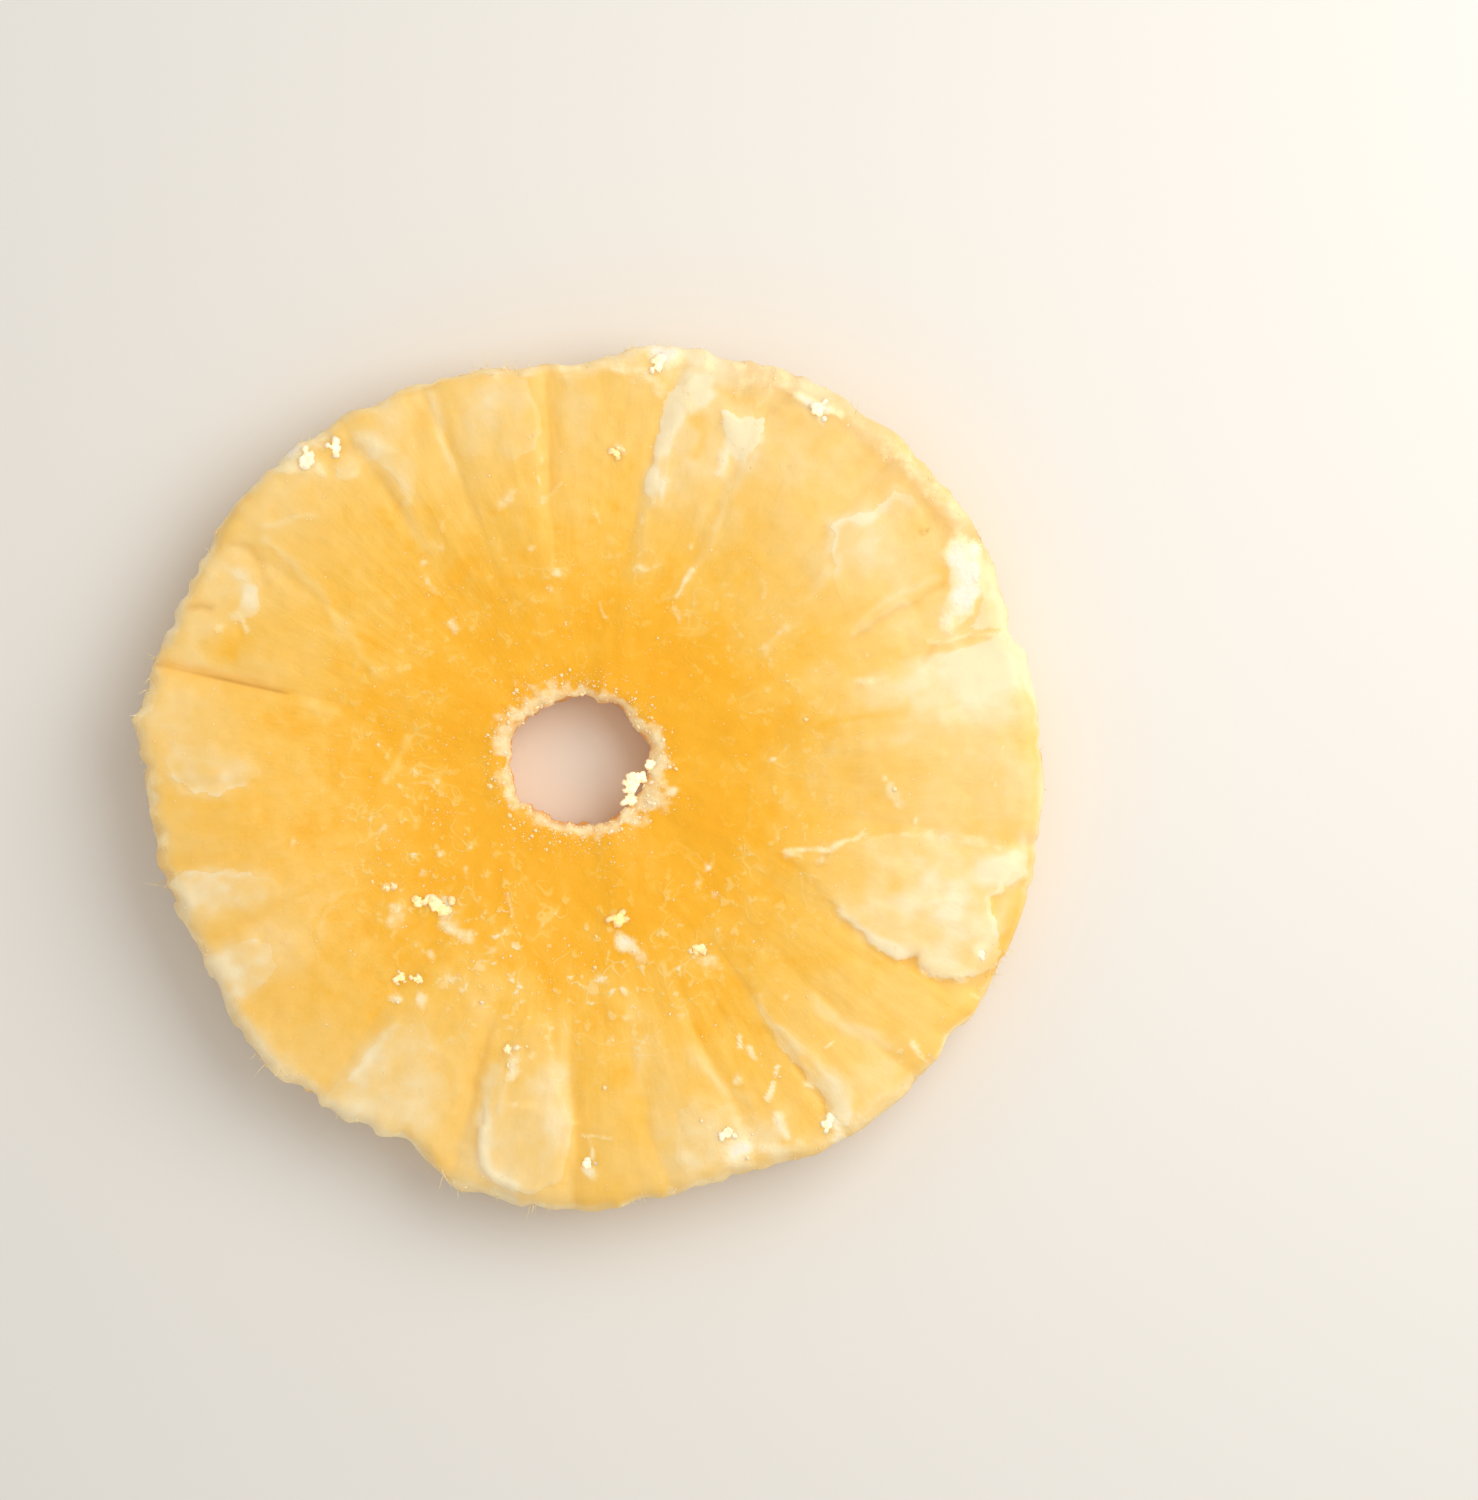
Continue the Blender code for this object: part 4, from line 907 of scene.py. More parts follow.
def section_outline():
    """The section as shares and levels, down its outer side: a rectangle with round corners."""
    width = RING_RADIUS - HOLE_RADIUS
    outer_u, outer_v = OUTER_ROUND / width, OUTER_ROUND / RIM_THICKNESS
    hole_u, hole_v = HOLE_ROUND / width, HOLE_ROUND / CORE_THICKNESS
    corners = (
        (1.0 - outer_u, 1.0 - outer_v, outer_u, outer_v, 90.0),
        (1.0 - outer_u, outer_v, outer_u, outer_v, 0.0),
        (hole_u, hole_v, hole_u, hole_v, -90.0),
        (hole_u, 1.0 - hole_v, hole_u, hole_v, -180.0),
    )
    arcs = []
    for u, v, reach_u, reach_v, first in corners:
        turn = np.radians(first - np.linspace(0.0, 90.0, CORNER_STEPS + 1))
        arcs.append(np.stack([u + reach_u * np.cos(turn), v + reach_v * np.sin(turn)], axis=1))
    outer_top, outer_low, hole_low, hole_top = arcs
    runs = [
        straight(hole_top[-1], outer_top[0], TOP_STEPS, 0.9),
        outer_top,
        straight(outer_top[-1], outer_low[0], WALL_STEPS, 1.0),
        outer_low,
        straight(outer_low[-1], hole_low[0], UNDERSIDE_STEPS, 1.0),
        hole_low,
        straight(hole_low[-1], hole_top[0], WALL_STEPS, 1.0),
        hole_top,
    ]
    return np.concatenate(runs)


def straight(start, end, steps, crowding):
    """The points between two corners of the section, without the corners themselves."""
    t = (np.arange(1, steps) / steps)[:, None] ** crowding
    return start + (end - start) * t


def plan_middle():
    """The middle of the outline's box. The CAD puts the origin there."""
    angle = np.linspace(0.0, TURN, 3600, endpoint=False)
    x, y = plan_place(angle, 1.0, 0.6)
    return (x.min() + x.max()) / 2, (y.min() + y.max()) / 2


def ragged_edges(angle, share, level, x, y):
    """How far the rim and the hole's edge stand out of line: noise, most at the rim's left."""
    rag = ring_noise(angle, level, 250, 4, 71) + 0.6 * ring_noise(angle, level, 120, 3, 72)
    rag = RIM_RAG * rag * (1.0 + MORE_RAGGED * bell(turned_by(angle, RAG_ANGLE), 0.9))
    crumbly = plane_noise(x, y + 4.0 * level * MM, 0.9 * MM, 73) + 0.7 * plane_noise(x, y, FINE, 74)
    return rag * ramp(0.93, 1.0, share) + HOLE_RAG * crumbly * (1.0 - ramp(0.0, 0.06, share))


def settled_masks(masks, angle, share, level, x, y):
    """The masks over the whole surface: with the crack's dark line, partly syrup and partly
    painted shade, and even down the walls.
    """
    wall = 1.0 - ramp(0.35, 0.95, level)
    # The crack's dark line: partly syrup soaked in, partly painted shade in the cut
    stain_and_shade = bell(turned_by(angle, CRACK_ANGLE), 0.30 * CRACK_HALF_WIDTH)
    stain_and_shade = CRACK_STAIN_AND_SHADE * stain_and_shade * ramp(CRACK_START, CRACK_START + 0.05, share)
    stain_and_shade = stain_and_shade * (1.0 - 0.55 * ramp(0.78, 0.95, share))
    return {
        "film": core_specks(x, y) * (1.0 - wall),
        "paleness": masks["paleness"] * (1.0 - 0.45 * wall) + 0.10 * wall,
        "sugar": masks["sugar"] * (1.0 - 0.85 * wall) + 0.06 * wall,
        "syrup": (masks["syrup"] + stain_and_shade) * (1.0 - wall),
        "depth": masks["depth"],
        "lip": masks["lip"] * (1.0 - wall),
    }


def ring_surface():
    """The grid of the ring, as rows round the hole and columns along the section, and its masks.

    Height is low + level (high - low). High is the thickness plus the wedges, layers, ledge, crack,
    swell, curl and fine relief, and low is the underside's.
    """
    section = section_outline()
    angle, share = np.meshgrid(np.arange(ROUND_STEPS) * TURN / ROUND_STEPS, section[:, 0],
                               indexing="ij")
    level = np.broadcast_to(section[:, 1], angle.shape)
    x, y = plan_place(angle, share, level)
    bent = wandering(angle, share)
    masks, layers = fruit_masks(bent, share, x, y)
    outward = ragged_edges(angle, share, level, x, y)
    x, y = x + outward * np.cos(angle), y + outward * np.sin(angle)
    thickness = CORE_THICKNESS + (RIM_THICKNESS - CORE_THICKNESS) * ramp(0.0, 0.75, share)
    high = (thickness + wedges(bent, share) + layers + ledge(angle, share) + crack(angle, share)
            + swell(angle, share) + curl(angle, share)
            + fine_relief(angle, share, x, y, masks["sugar"], masks["syrup"]))
    low = underside_height(angle, share)
    middle_x, middle_y = plan_middle()
    points = np.stack([x - middle_x, y - middle_y, low + level * (high - low)], axis=2)
    return points, settled_masks(masks, angle, share, level, x, y), level


def closed_grid(name, points, masks, material):
    """A mesh from a grid that closes both ways, with its masks as point attributes."""
    rows, columns = points.shape[:2]
    corner = np.arange(rows * columns).reshape(rows, columns)
    beyond = np.roll(corner, -1, axis=0)
    quads = np.stack([corner, np.roll(corner, -1, axis=1), np.roll(beyond, -1, axis=1), beyond],
                     axis=2)
    piece = new_piece(name, points.reshape(-1, 3), quads.reshape(-1, 4), material)
    add_masks(piece, {key: mask.ravel() for key, mask in masks.items()})
    return piece


def new_piece(name, points, faces, material):
    """A smooth mesh object from whole arrays of points and of faces with equal sides."""
    sides = faces.shape[1]
    mesh = bpy.data.meshes.new(name)
    mesh.vertices.add(len(points))
    mesh.vertices.foreach_set("co", points.astype(np.float32).ravel())
    mesh.loops.add(faces.size)
    mesh.loops.foreach_set("vertex_index", faces.astype(np.int32).ravel())
    mesh.polygons.add(len(faces))
    mesh.polygons.foreach_set("loop_start", np.arange(0, faces.size, sides, dtype=np.int32))
    mesh.update(calc_edges=True)
    mesh.validate()
    mesh.shade_smooth()
    mesh.materials.append(material)
    piece = bpy.data.objects.new(name, mesh)
    bpy.context.scene.collection.objects.link(piece)
    return piece


def add_masks(piece, masks):
    """Writes masks by name as point attributes of the piece's mesh."""
    for key, values in masks.items():
        layer = piece.data.attributes.new(key, "FLOAT", "POINT")
        layer.data.foreach_set("value", np.ascontiguousarray(values, np.float32))


def ball_template(subdivisions):
    """Points and faces of a small round ball of triangles, with a radius of 1."""
    ball = bmesh.new()
    bmesh.ops.create_icosphere(ball, subdivisions=subdivisions, radius=1.0)
    points = np.array([corner.co for corner in ball.verts])
    faces = np.array([[corner.index for corner in face.verts] for face in ball.faces])
    ball.free()
    return points, faces


def random_turns(dice, count):
    """Rotation matrices from random unit quaternions."""
    turns = dice.normal(size=(count, 4))
    w, x, y, z = (turns / np.linalg.norm(turns, axis=1, keepdims=True)).T
    return np.stack([
        np.stack([1 - 2 * (y * y + z * z), 2 * (x * y - w * z), 2 * (x * z + w * y)], axis=1),
        np.stack([2 * (x * y + w * z), 1 - 2 * (x * x + z * z), 2 * (y * z - w * x)], axis=1),
        np.stack([2 * (x * z - w * y), 2 * (y * z + w * x), 1 - 2 * (x * x + y * y)], axis=1),
    ], axis=1)


def joined_grains(name, centres, sizes, whiteness, subdivisions, dented, seed, material):
    """Many small lumps as one mesh: each a ball stretched, dented at random and turned."""
    dice = np.random.default_rng(seed)
    ball, faces = ball_template(subdivisions)
    count = len(centres)
    dents = 1.0 + dented * dice.uniform(-1.0, 1.0, (count, len(ball), 1))
    stretch = dice.uniform(0.65, 1.25, (count, 1, 3))
    shapes = ball[None] * dents * stretch * (sizes / 2)[:, None, None]
    turned = np.einsum("nij,nvj->nvi", random_turns(dice, count), shapes)
    points = turned + centres[:, None]
    all_faces = faces[None] + (np.arange(count) * len(ball))[:, None, None]
    piece = new_piece(name, points.reshape(-1, 3), all_faces.reshape(-1, 3), material)
    add_masks(piece, {"whiteness": np.repeat(whiteness, len(ball))})
    return piece


def scattered(points, weight, count, seed):
    """Random places on the grid, drawn by each cell's area times its weight, with their normals."""
    dice = np.random.default_rng(seed)
    along = np.roll(points, -1, axis=1) - points
    round_it = np.roll(points, -1, axis=0) - points
    normal = np.cross(along, round_it)
    area = np.linalg.norm(normal, axis=2)
    chance = (area * weight).ravel()
    cell = dice.choice(chance.size, count, p=chance / chance.sum())
    u, v = dice.uniform(size=(2, count, 1))
    places = (points.reshape(-1, 3)[cell] + u * along.reshape(-1, 3)[cell]
              + v * round_it.reshape(-1, 3)[cell])
    normals = normal.reshape(-1, 3)[cell] / np.maximum(area.ravel()[cell], 1e-15)[:, None]
    return places, normals, cell


def nearest_on_top(points, x, y):
    """The grid's top height at a few places in the plane, from its nearest point there."""
    top = points[:, :TOP_STEPS + CORNER_STEPS].reshape(-1, 3)
    heights = []
    for place_x, place_y in zip(x, y):
        heights.append(top[np.argmin(np.hypot(top[:, 0] - place_x, top[:, 1] - place_y)), 2])
    return np.array(heights)


def sugar_clumps(points, material):
    """The large crumbs that the CAD has, each a flat cluster of lumps round its place.

    They sink deeper at the two edges, where the surface falls away, and are whiter near them.
    """
    dice = np.random.default_rng(81)
    lumps, reach, flatness = 14, 0.36, 0.4
    degrees, share, size = np.array(CRUMB_CLUMPS).T
    x, y = plan_place(np.radians(degrees), share, 1.0)
    middle_x, middle_y = plan_middle()
    x, y = x - middle_x, y - middle_y
    sunk = np.where((share < 0.03) | (share > 0.95), 0.6, 0.2) * MM
    z = nearest_on_top(points, x, y) - sunk
    spread = dice.normal(0.0, 0.6, (len(size), lumps, 3)) * (size * MM * reach)[:, None, None]
    spread[..., 2] = np.abs(spread[..., 2]) * flatness
    centres = np.stack([x, y, z], axis=1)[:, None] + spread
    sizes = size[:, None] * MM * dice.uniform(0.24, 0.56, (len(size), lumps))
    white = dice.uniform(0.10, 0.55, len(size))
    white = np.where((share < 0.03) | (share > 0.86), 0.90, white)
    return joined_grains("sugar_clumps", centres.reshape(-1, 3), sizes.ravel(),
                         np.repeat(white, lumps), subdivisions=2, dented=0.18, seed=82,
                         material=material)


def core_specks(x, y):
    """Where specks and threads of dried syrup lie: between the hole and the wedges, most below."""
    radius, angle = np.hypot(x, y), np.arctan2(y, x)
    band = bell(radius - SPECK_RADIUS, SPECK_REACH)
    below = 0.30 + 0.70 * bell(turned_by(angle, SPECK_ANGLE), 1.2)
    return band * below


def sugar_scatter(points, masks, level, material):
    """Crumbs that show one by one, and fine grains that thicken where sugar has dried.

    Both lie where sugar begins and ends, in patches among the specks, and at the hole. Each one is
    sunk a little along the surface's normal, and most are small.
    """
    x, y = points[..., 0], points[..., 1]
    patchy = np.clip(0.4 + plane_noise(x, y, 1.7 * MM, 91), 0.0, 1.5) ** 2
    specks = core_specks(x, y) * patchy
    sugar = np.clip(masks["sugar"], 0.0, 1.0)
    past_hole = np.hypot(x - HOLE_SHIFT[0], y - HOLE_SHIFT[1]) - HOLE_RADIUS
    edge = 1.0 - ramp(0.4 * MM, 3.0 * MM, past_hole)
    top, off_floor = ramp(0.45, 0.9, level), ramp(0.03, 0.15, level)
    crumbs = 0.3 * sugar * (1.0 - sugar) + 0.30 * specks + 1.2 * edge
    grains = 0.10 * patchy + 0.8 * sugar * (1.2 - sugar) + 0.35 * specks + 1.6 * edge
    grains = grains * (0.10 + 0.90 * top) * off_floor
    # Name, weight, count, sizes in millimetres, rounds of subdivision, depth of dents, seed
    kinds = (
        ("sugar_crumbs", crumbs * top, 260, (0.22, 0.46), 2, 0.24, 92),
        ("sugar_grains", grains, 6000, (0.08, 0.24), 1, 0.26, 93),
    )
    pieces = []
    for name, weight, count, (small, large), subdivisions, dents, seed in kinds:
        places, normals, cell = scattered(points, weight, count, seed)
        dice = np.random.default_rng(seed + 50)
        sizes = (small + (large - small) * dice.uniform(size=count) ** 2.2) * MM
        centres = places + normals * (sizes * dice.uniform(-0.40, -0.12, count))[:, None]
        white = np.clip(0.1 + 0.8 * sugar.ravel()[cell] + dice.uniform(-0.2, 0.2, count), 0, 1)
        pieces.append(joined_grains(name, centres, sizes, white, subdivisions, dents, seed + 100,
                                    material))
    return pieces


def edge_fibres(points, material):
    """Short hairs that stand off the rim: thin tapering tubes along bent lines.

    A point of a hair is its root + length t along its direction + a bend of t squared, and the
    radius shrinks as 1 - 0.8 t. The first hairs stand in tufts, and are longer.
    """
    dice = np.random.default_rng(101)
    count, steps, sides, thickness = 190, 6, 4, 0.045 * MM
    rim_column = TOP_STEPS + CORNER_STEPS
    column = rim_column + dice.integers(-4, 3, count)
    row = dice.integers(0, ROUND_STEPS, count)
    tufts, a_tuft = np.radians([221.5, 250.0, 103.0, 166.5, 335.0, 264.0, 195.0]), 10
    tufted = len(tufts) * a_tuft
    tuft_rows = np.repeat((tufts / TURN * ROUND_STEPS).astype(int), a_tuft)
    row[:tufted] = (tuft_rows + dice.integers(-5, 6, tufted)) % ROUND_STEPS
    root = points[row, column]
    outward = root * (1.0, 1.0, 0.0)
    outward = outward / np.linalg.norm(outward, axis=1, keepdims=True)
    direction = outward + dice.normal(0.0, 0.55, (count, 3))
    direction = direction / np.linalg.norm(direction, axis=1, keepdims=True)
    length = dice.uniform(0.25, 0.75, count) * MM
    length[:tufted] *= 1.7
    bend = dice.normal(0.0, 0.35, (count, 3)) * length[:, None]
    t = np.linspace(0.0, 1.0, steps)[None, :, None]
    spine = root[:, None] + direction[:, None] * length[:, None, None] * t + bend[:, None] * t * t
    across = np.cross(direction, (0.0, 0.0, 1.0))
    across = across / np.linalg.norm(across, axis=1, keepdims=True)
    upward = np.cross(across, direction)
    turn = np.arange(sides) * TURN / sides
    circle = (across[:, None, None] * np.cos(turn)[None, None, :, None]
              + upward[:, None, None] * np.sin(turn)[None, None, :, None])
    radius = thickness * (1.0 - 0.8 * t[..., None])
    tube = (spine[:, :, None] + circle * radius).reshape(count, steps * sides, 3)
    ring, side = np.meshgrid(np.arange(steps - 1), np.arange(sides), indexing="ij")
    near, after = ring * sides + side, ring * sides + (side + 1) % sides
    walls = np.stack([near, after, after + sides, near + sides], axis=2).reshape(-1, 4)
    start = np.arange(sides)[::-1][None]
    end = (steps - 1) * sides + np.arange(sides)[None]
    faces = np.concatenate([walls, start, end])
    every = faces[None] + (np.arange(count) * steps * sides)[:, None, None]
    piece = new_piece("edge_fibres", tube.reshape(-1, 3), every.reshape(-1, 4), material)
    add_masks(piece, {"whiteness": np.full(count * steps * sides, 0.35)})
    return piece


def feed(tree, socket, value):
    """Links another node's output to a socket, or sets a plain value on it."""
    if isinstance(value, bpy.types.NodeSocket):
        tree.links.new(value, socket)
    else:
        socket.default_value = value


def node(tree, kind, inputs=None, **settings):
    """A node with its settings, and with values or links given by the names of its inputs."""
    made = tree.nodes.new(kind)
    for key, value in settings.items():
        setattr(made, key, value)
    for key, value in (inputs or {}).items():
        feed(tree, made.inputs[key], value)
    return made


def maths(tree, operation, first, second, clamp=False):
    """Two values joined by an operation, and kept from 0 to 1 where clamp says so."""
    made = node(tree, "ShaderNodeMath", {0: first, 1: second}, operation=operation,
                use_clamp=clamp)
    return made.outputs[0]


def weighted(tree, *terms):
    """The sum of a few values, each times its weight."""
    total = None
    for value, weight in terms:
        part = value if weight == 1.0 else maths(tree, "MULTIPLY", value, weight)
        total = part if total is None else maths(tree, "ADD", total, part)
    return total


def rescaled(tree, value, low, high, first=0.0, last=1.0, eased_in=False):
    """A value that runs from first to last while the given one runs from low to high."""
    kind = "SMOOTHSTEP" if eased_in else "LINEAR"
    made = node(tree, "ShaderNodeMapRange", {"Value": value, "From Min": low, "From Max": high,
                                             "To Min": first, "To Max": last},
                interpolation_type=kind)
    return made.outputs["Result"]


def mixed(tree, share, first, second):
    """One colour laid over another by a share."""
    return node(tree, "ShaderNodeMix", {0: share, 6: first, 7: second},
                data_type="RGBA").outputs[2]


def screen(red, green, blue):
    """A colour as a screen shows it, 0 to 255, turned to the linear values that shaders take."""
    values = [channel / 255 for channel in (red, green, blue)]
    return tuple(v / 12.92 if v <= 0.04045 else ((v + 0.055) / 1.055) ** 2.4
                 for v in values) + (1.0,)


def ramped(tree, value, stops):
    """A colour ramp with its stops, each a position and a colour."""
    made = node(tree, "ShaderNodeValToRGB", {"Fac": value})
    elements = made.color_ramp.elements
    while len(elements) < len(stops):
        elements.new(0.5)
    for element, (position, colour) in zip(elements, stops):
        element.position = position
        element.color = colour
    return made.outputs["Color"]


def new_group(name, inputs, outputs):
    """A shader node group with named inputs, each with its value, and named outputs."""
    group = bpy.data.node_groups.new(name, "ShaderNodeTree")
    for key, value in inputs.items():
        socket = group.interface.new_socket(key, in_out="INPUT", socket_type="NodeSocketFloat")
        socket.default_value = value
    for key in outputs:
        group.interface.new_socket(key, in_out="OUTPUT", socket_type="NodeSocketFloat")
    return group, group.nodes.new("NodeGroupInput"), group.nodes.new("NodeGroupOutput")


def flesh_grain_group():
    """Fibres that run outward from the core, and cloudy mottling.

    The fibres are noise over the direction from the middle, times how many fit round it, and over
    the radius, times how often they change on the way out.
    """
    group, given, result = new_group("flesh_grain", {"Fibres round": 17.0, "Fibre breaks": 170.0,
                                                     "Mottle scale": 420.0},
                                     ("Fibres", "Mottle"))
    place = node(group, "ShaderNodeTexCoord").outputs["Object"]
    parts = node(group, "ShaderNodeSeparateXYZ", {0: place})
    flat = node(group, "ShaderNodeCombineXYZ", {"X": parts.outputs["X"], "Y": parts.outputs["Y"]})
    radius = node(group, "ShaderNodeVectorMath", {0: flat.outputs[0]}, operation="LENGTH")
    outward = node(group, "ShaderNodeVectorMath", {0: flat.outputs[0]}, operation="NORMALIZE")
    spread = node(group, "ShaderNodeVectorMath",
                  {0: outward.outputs[0], "Scale": given.outputs["Fibres round"]},
                  operation="SCALE")
    height = maths(group, "MULTIPLY", parts.outputs["Z"], 300.0)
    depth = maths(group, "MULTIPLY", radius.outputs["Value"], given.outputs["Fibre breaks"])
    along = node(group, "ShaderNodeCombineXYZ", {"Z": maths(group, "ADD", depth, height)})
    where = node(group, "ShaderNodeVectorMath", {0: spread.outputs[0], 1: along.outputs[0]},
                 operation="ADD")
    noise = node(group, "ShaderNodeTexNoise", {"Vector": where.outputs[0], "Scale": 1.0,
                                               "Detail": 3.0, "Roughness": 0.62})
    outer = rescaled(group, radius.outputs["Value"], 0.009, 0.022, first=0.15)
    fibres = maths(group, "MULTIPLY", maths(group, "SUBTRACT", noise.outputs["Fac"], 0.5), outer)
    mottle = node(group, "ShaderNodeTexNoise", {"Vector": place,
                                                "Scale": given.outputs["Mottle scale"],
                                                "Detail": 4.0, "Roughness": 0.6})
    group.links.new(fibres, result.inputs["Fibres"])
    group.links.new(maths(group, "SUBTRACT", mottle.outputs["Fac"], 0.5), result.inputs["Mottle"])
    return group


def dried_film_group():
    """Flecks and threads of syrup that dried on the flesh.

    The flecks are where fine noise is high. The threads are the borders of cells that noise has
    bent, where a slower noise is high.
    """
    group, given, result = new_group("dried_film", {"Fleck scale": 1050.0, "Cell scale": 300.0},
                                     ("Flecks", "Threads"))
    place = node(group, "ShaderNodeTexCoord").outputs["Object"]
    fine = node(group, "ShaderNodeTexNoise", {"Vector": place, "Detail": 2.0, "Roughness": 0.5,
                                              "Scale": given.outputs["Fleck scale"]})
    flecks = rescaled(group, fine.outputs["Fac"], 0.58, 0.70, eased_in=True)
    slow = node(group, "ShaderNodeTexNoise", {"Vector": place, "Detail": 1.0, "Scale": 420.0})
    sway = node(group, "ShaderNodeVectorMath", {0: slow.outputs["Color"], "Scale": 0.006},
                operation="SCALE")
    bent = node(group, "ShaderNodeVectorMath", {0: place, 1: sway.outputs[0]}, operation="ADD")
    cells = node(group, "ShaderNodeTexVoronoi", {"Vector": bent.outputs[0],
                                                 "Scale": given.outputs["Cell scale"]},
                 feature="DISTANCE_TO_EDGE")
    borders = rescaled(group, cells.outputs["Distance"], 0.015, 0.065, 1.0, 0.0, eased_in=True)
    patches = rescaled(group, slow.outputs["Fac"], 0.48, 0.62)
    group.links.new(flecks, result.inputs["Flecks"])
    group.links.new(maths(group, "MULTIPLY", borders, patches), result.inputs["Threads"])
    return group


def sugar_crystal_group():
    """Crystals and dust of dried sugar: the distance to the nearest random point, and noise."""
    group, given, result = new_group("sugar_crystals", {"Crystal scale": 2600.0},
                                     ("Facets", "Dust"))
    place = node(group, "ShaderNodeTexCoord").outputs["Object"]
    cells = node(group, "ShaderNodeTexVoronoi", {"Vector": place,
                                                 "Scale": given.outputs["Crystal scale"],
                                                 "Randomness": 1.0}, feature="F1")
    dust = node(group, "ShaderNodeTexNoise",
                {"Vector": place, "Detail": 3.0, "Roughness": 0.65,
                 "Scale": maths(group, "MULTIPLY", given.outputs["Crystal scale"], 0.30)})
    group.links.new(cells.outputs["Distance"], result.inputs["Facets"])
    group.links.new(maths(group, "SUBTRACT", dust.outputs["Fac"], 0.5), result.inputs["Dust"])
    return group


def layer_border_group():
    """The sharp border of a raised layer, from the depth inside it in millimetres.

    Noise makes the depth ragged. Inside is a step at depth 0, lip fades inward from the border,
    and foot lies just outside it: a thin line that the material darkens, partly as painted shadow
    under the raised border and partly as syrup.
    """
    group, given, result = new_group("layer_border", {"Depth": -9.0, "Ragged": 0.45},
                                     ("Inside", "Lip", "Foot"))
    place = node(group, "ShaderNodeTexCoord").outputs["Object"]
    noise = node(group, "ShaderNodeTexNoise", {"Vector": place, "Scale": 2300.0, "Detail": 2.0,
                                               "Roughness": 0.6})
    sway = maths(group, "MULTIPLY", maths(group, "SUBTRACT", noise.outputs["Fac"], 0.5),
                 given.outputs["Ragged"])
    depth = maths(group, "ADD", given.outputs["Depth"], sway)
    inside = rescaled(group, depth, -0.04, 0.06, eased_in=True)
    fading = rescaled(group, depth, 0.05, 0.75, 1.0, 0.0, eased_in=True)
    rising = rescaled(group, depth, -0.5, -0.02, eased_in=True)
    group.links.new(inside, result.inputs["Inside"])
    group.links.new(maths(group, "MULTIPLY", inside, fading), result.inputs["Lip"])
    group.links.new(maths(group, "MULTIPLY", maths(group, "SUBTRACT", 1.0, inside), rising),
                    result.inputs["Foot"])
    return group


def placed_group(tree, group, **inputs):
    """The outputs of a group placed in a material, with its inputs given by name."""
    made = node(tree, "ShaderNodeGroup", node_tree=group)
    for key, value in inputs.items():
        feed(tree, made.inputs[key.replace("_", " ")], value)
    return made.outputs


def mask_of(tree, name):
    """A mask of the mesh, read from its attribute."""
    return node(tree, "ShaderNodeAttribute", attribute_name=name).outputs["Fac"]


def new_material(name, **values):
    """A material with its Principled shader's plain values set on the sockets themselves."""
    material = bpy.data.materials.new(name)
    material.use_nodes = True
    shader = material.node_tree.nodes["Principled BSDF"]
    shader.subsurface_method = "BURLEY"
    for key, value in values.items():
        shader.inputs[key.replace("_", " ")].default_value = value
    return material, material.node_tree, shader


# The flesh from its clearest to its palest, as paleness and colour
FLESH_COLOURS = (
    (0.00, screen(250, 170, 20)),
    (0.18, screen(252, 183, 44)),
    (0.40, screen(252, 196, 82)),
    (0.62, screen(252, 206, 114)),
    (0.82, screen(252, 218, 150)),
    (1.00, screen(253, 234, 190)),
)
AMBER_GLOW = screen(254, 182, 40)
SYRUP_COLOUR = screen(206, 146, 56)
SUGAR_CREAM = screen(254, 231, 178)
SUGAR_WHITE = screen(252, 238, 216)
CRUMB_CREAM = screen(253, 218, 150)
CRUMB_WHITE = screen(253, 240, 214)
FIBRE_CREAM = screen(250, 216, 150)
FIBRE_WHITE = screen(253, 236, 204)
FLOOR_WHITE = screen(236, 232, 226)
NO_LIGHT = (0.0, 0.0, 0.0, 1.0)

# What the material adds to the flesh's tone: fibres, mottle, flecks and threads of dried syrup, and
# at a raised layer's border its inside, its lip and its foot, whose darkening is partly painted
# shadow under the border and partly syrup
FIBRE_TONE, MOTTLE_TONE = 0.08, 0.34
FLECK_TONE, THREAD_TONE = 0.68, 0.40
INSIDE_TONE, LIP_TONE, FOOT_TONE = 0.65, 0.60, -0.35


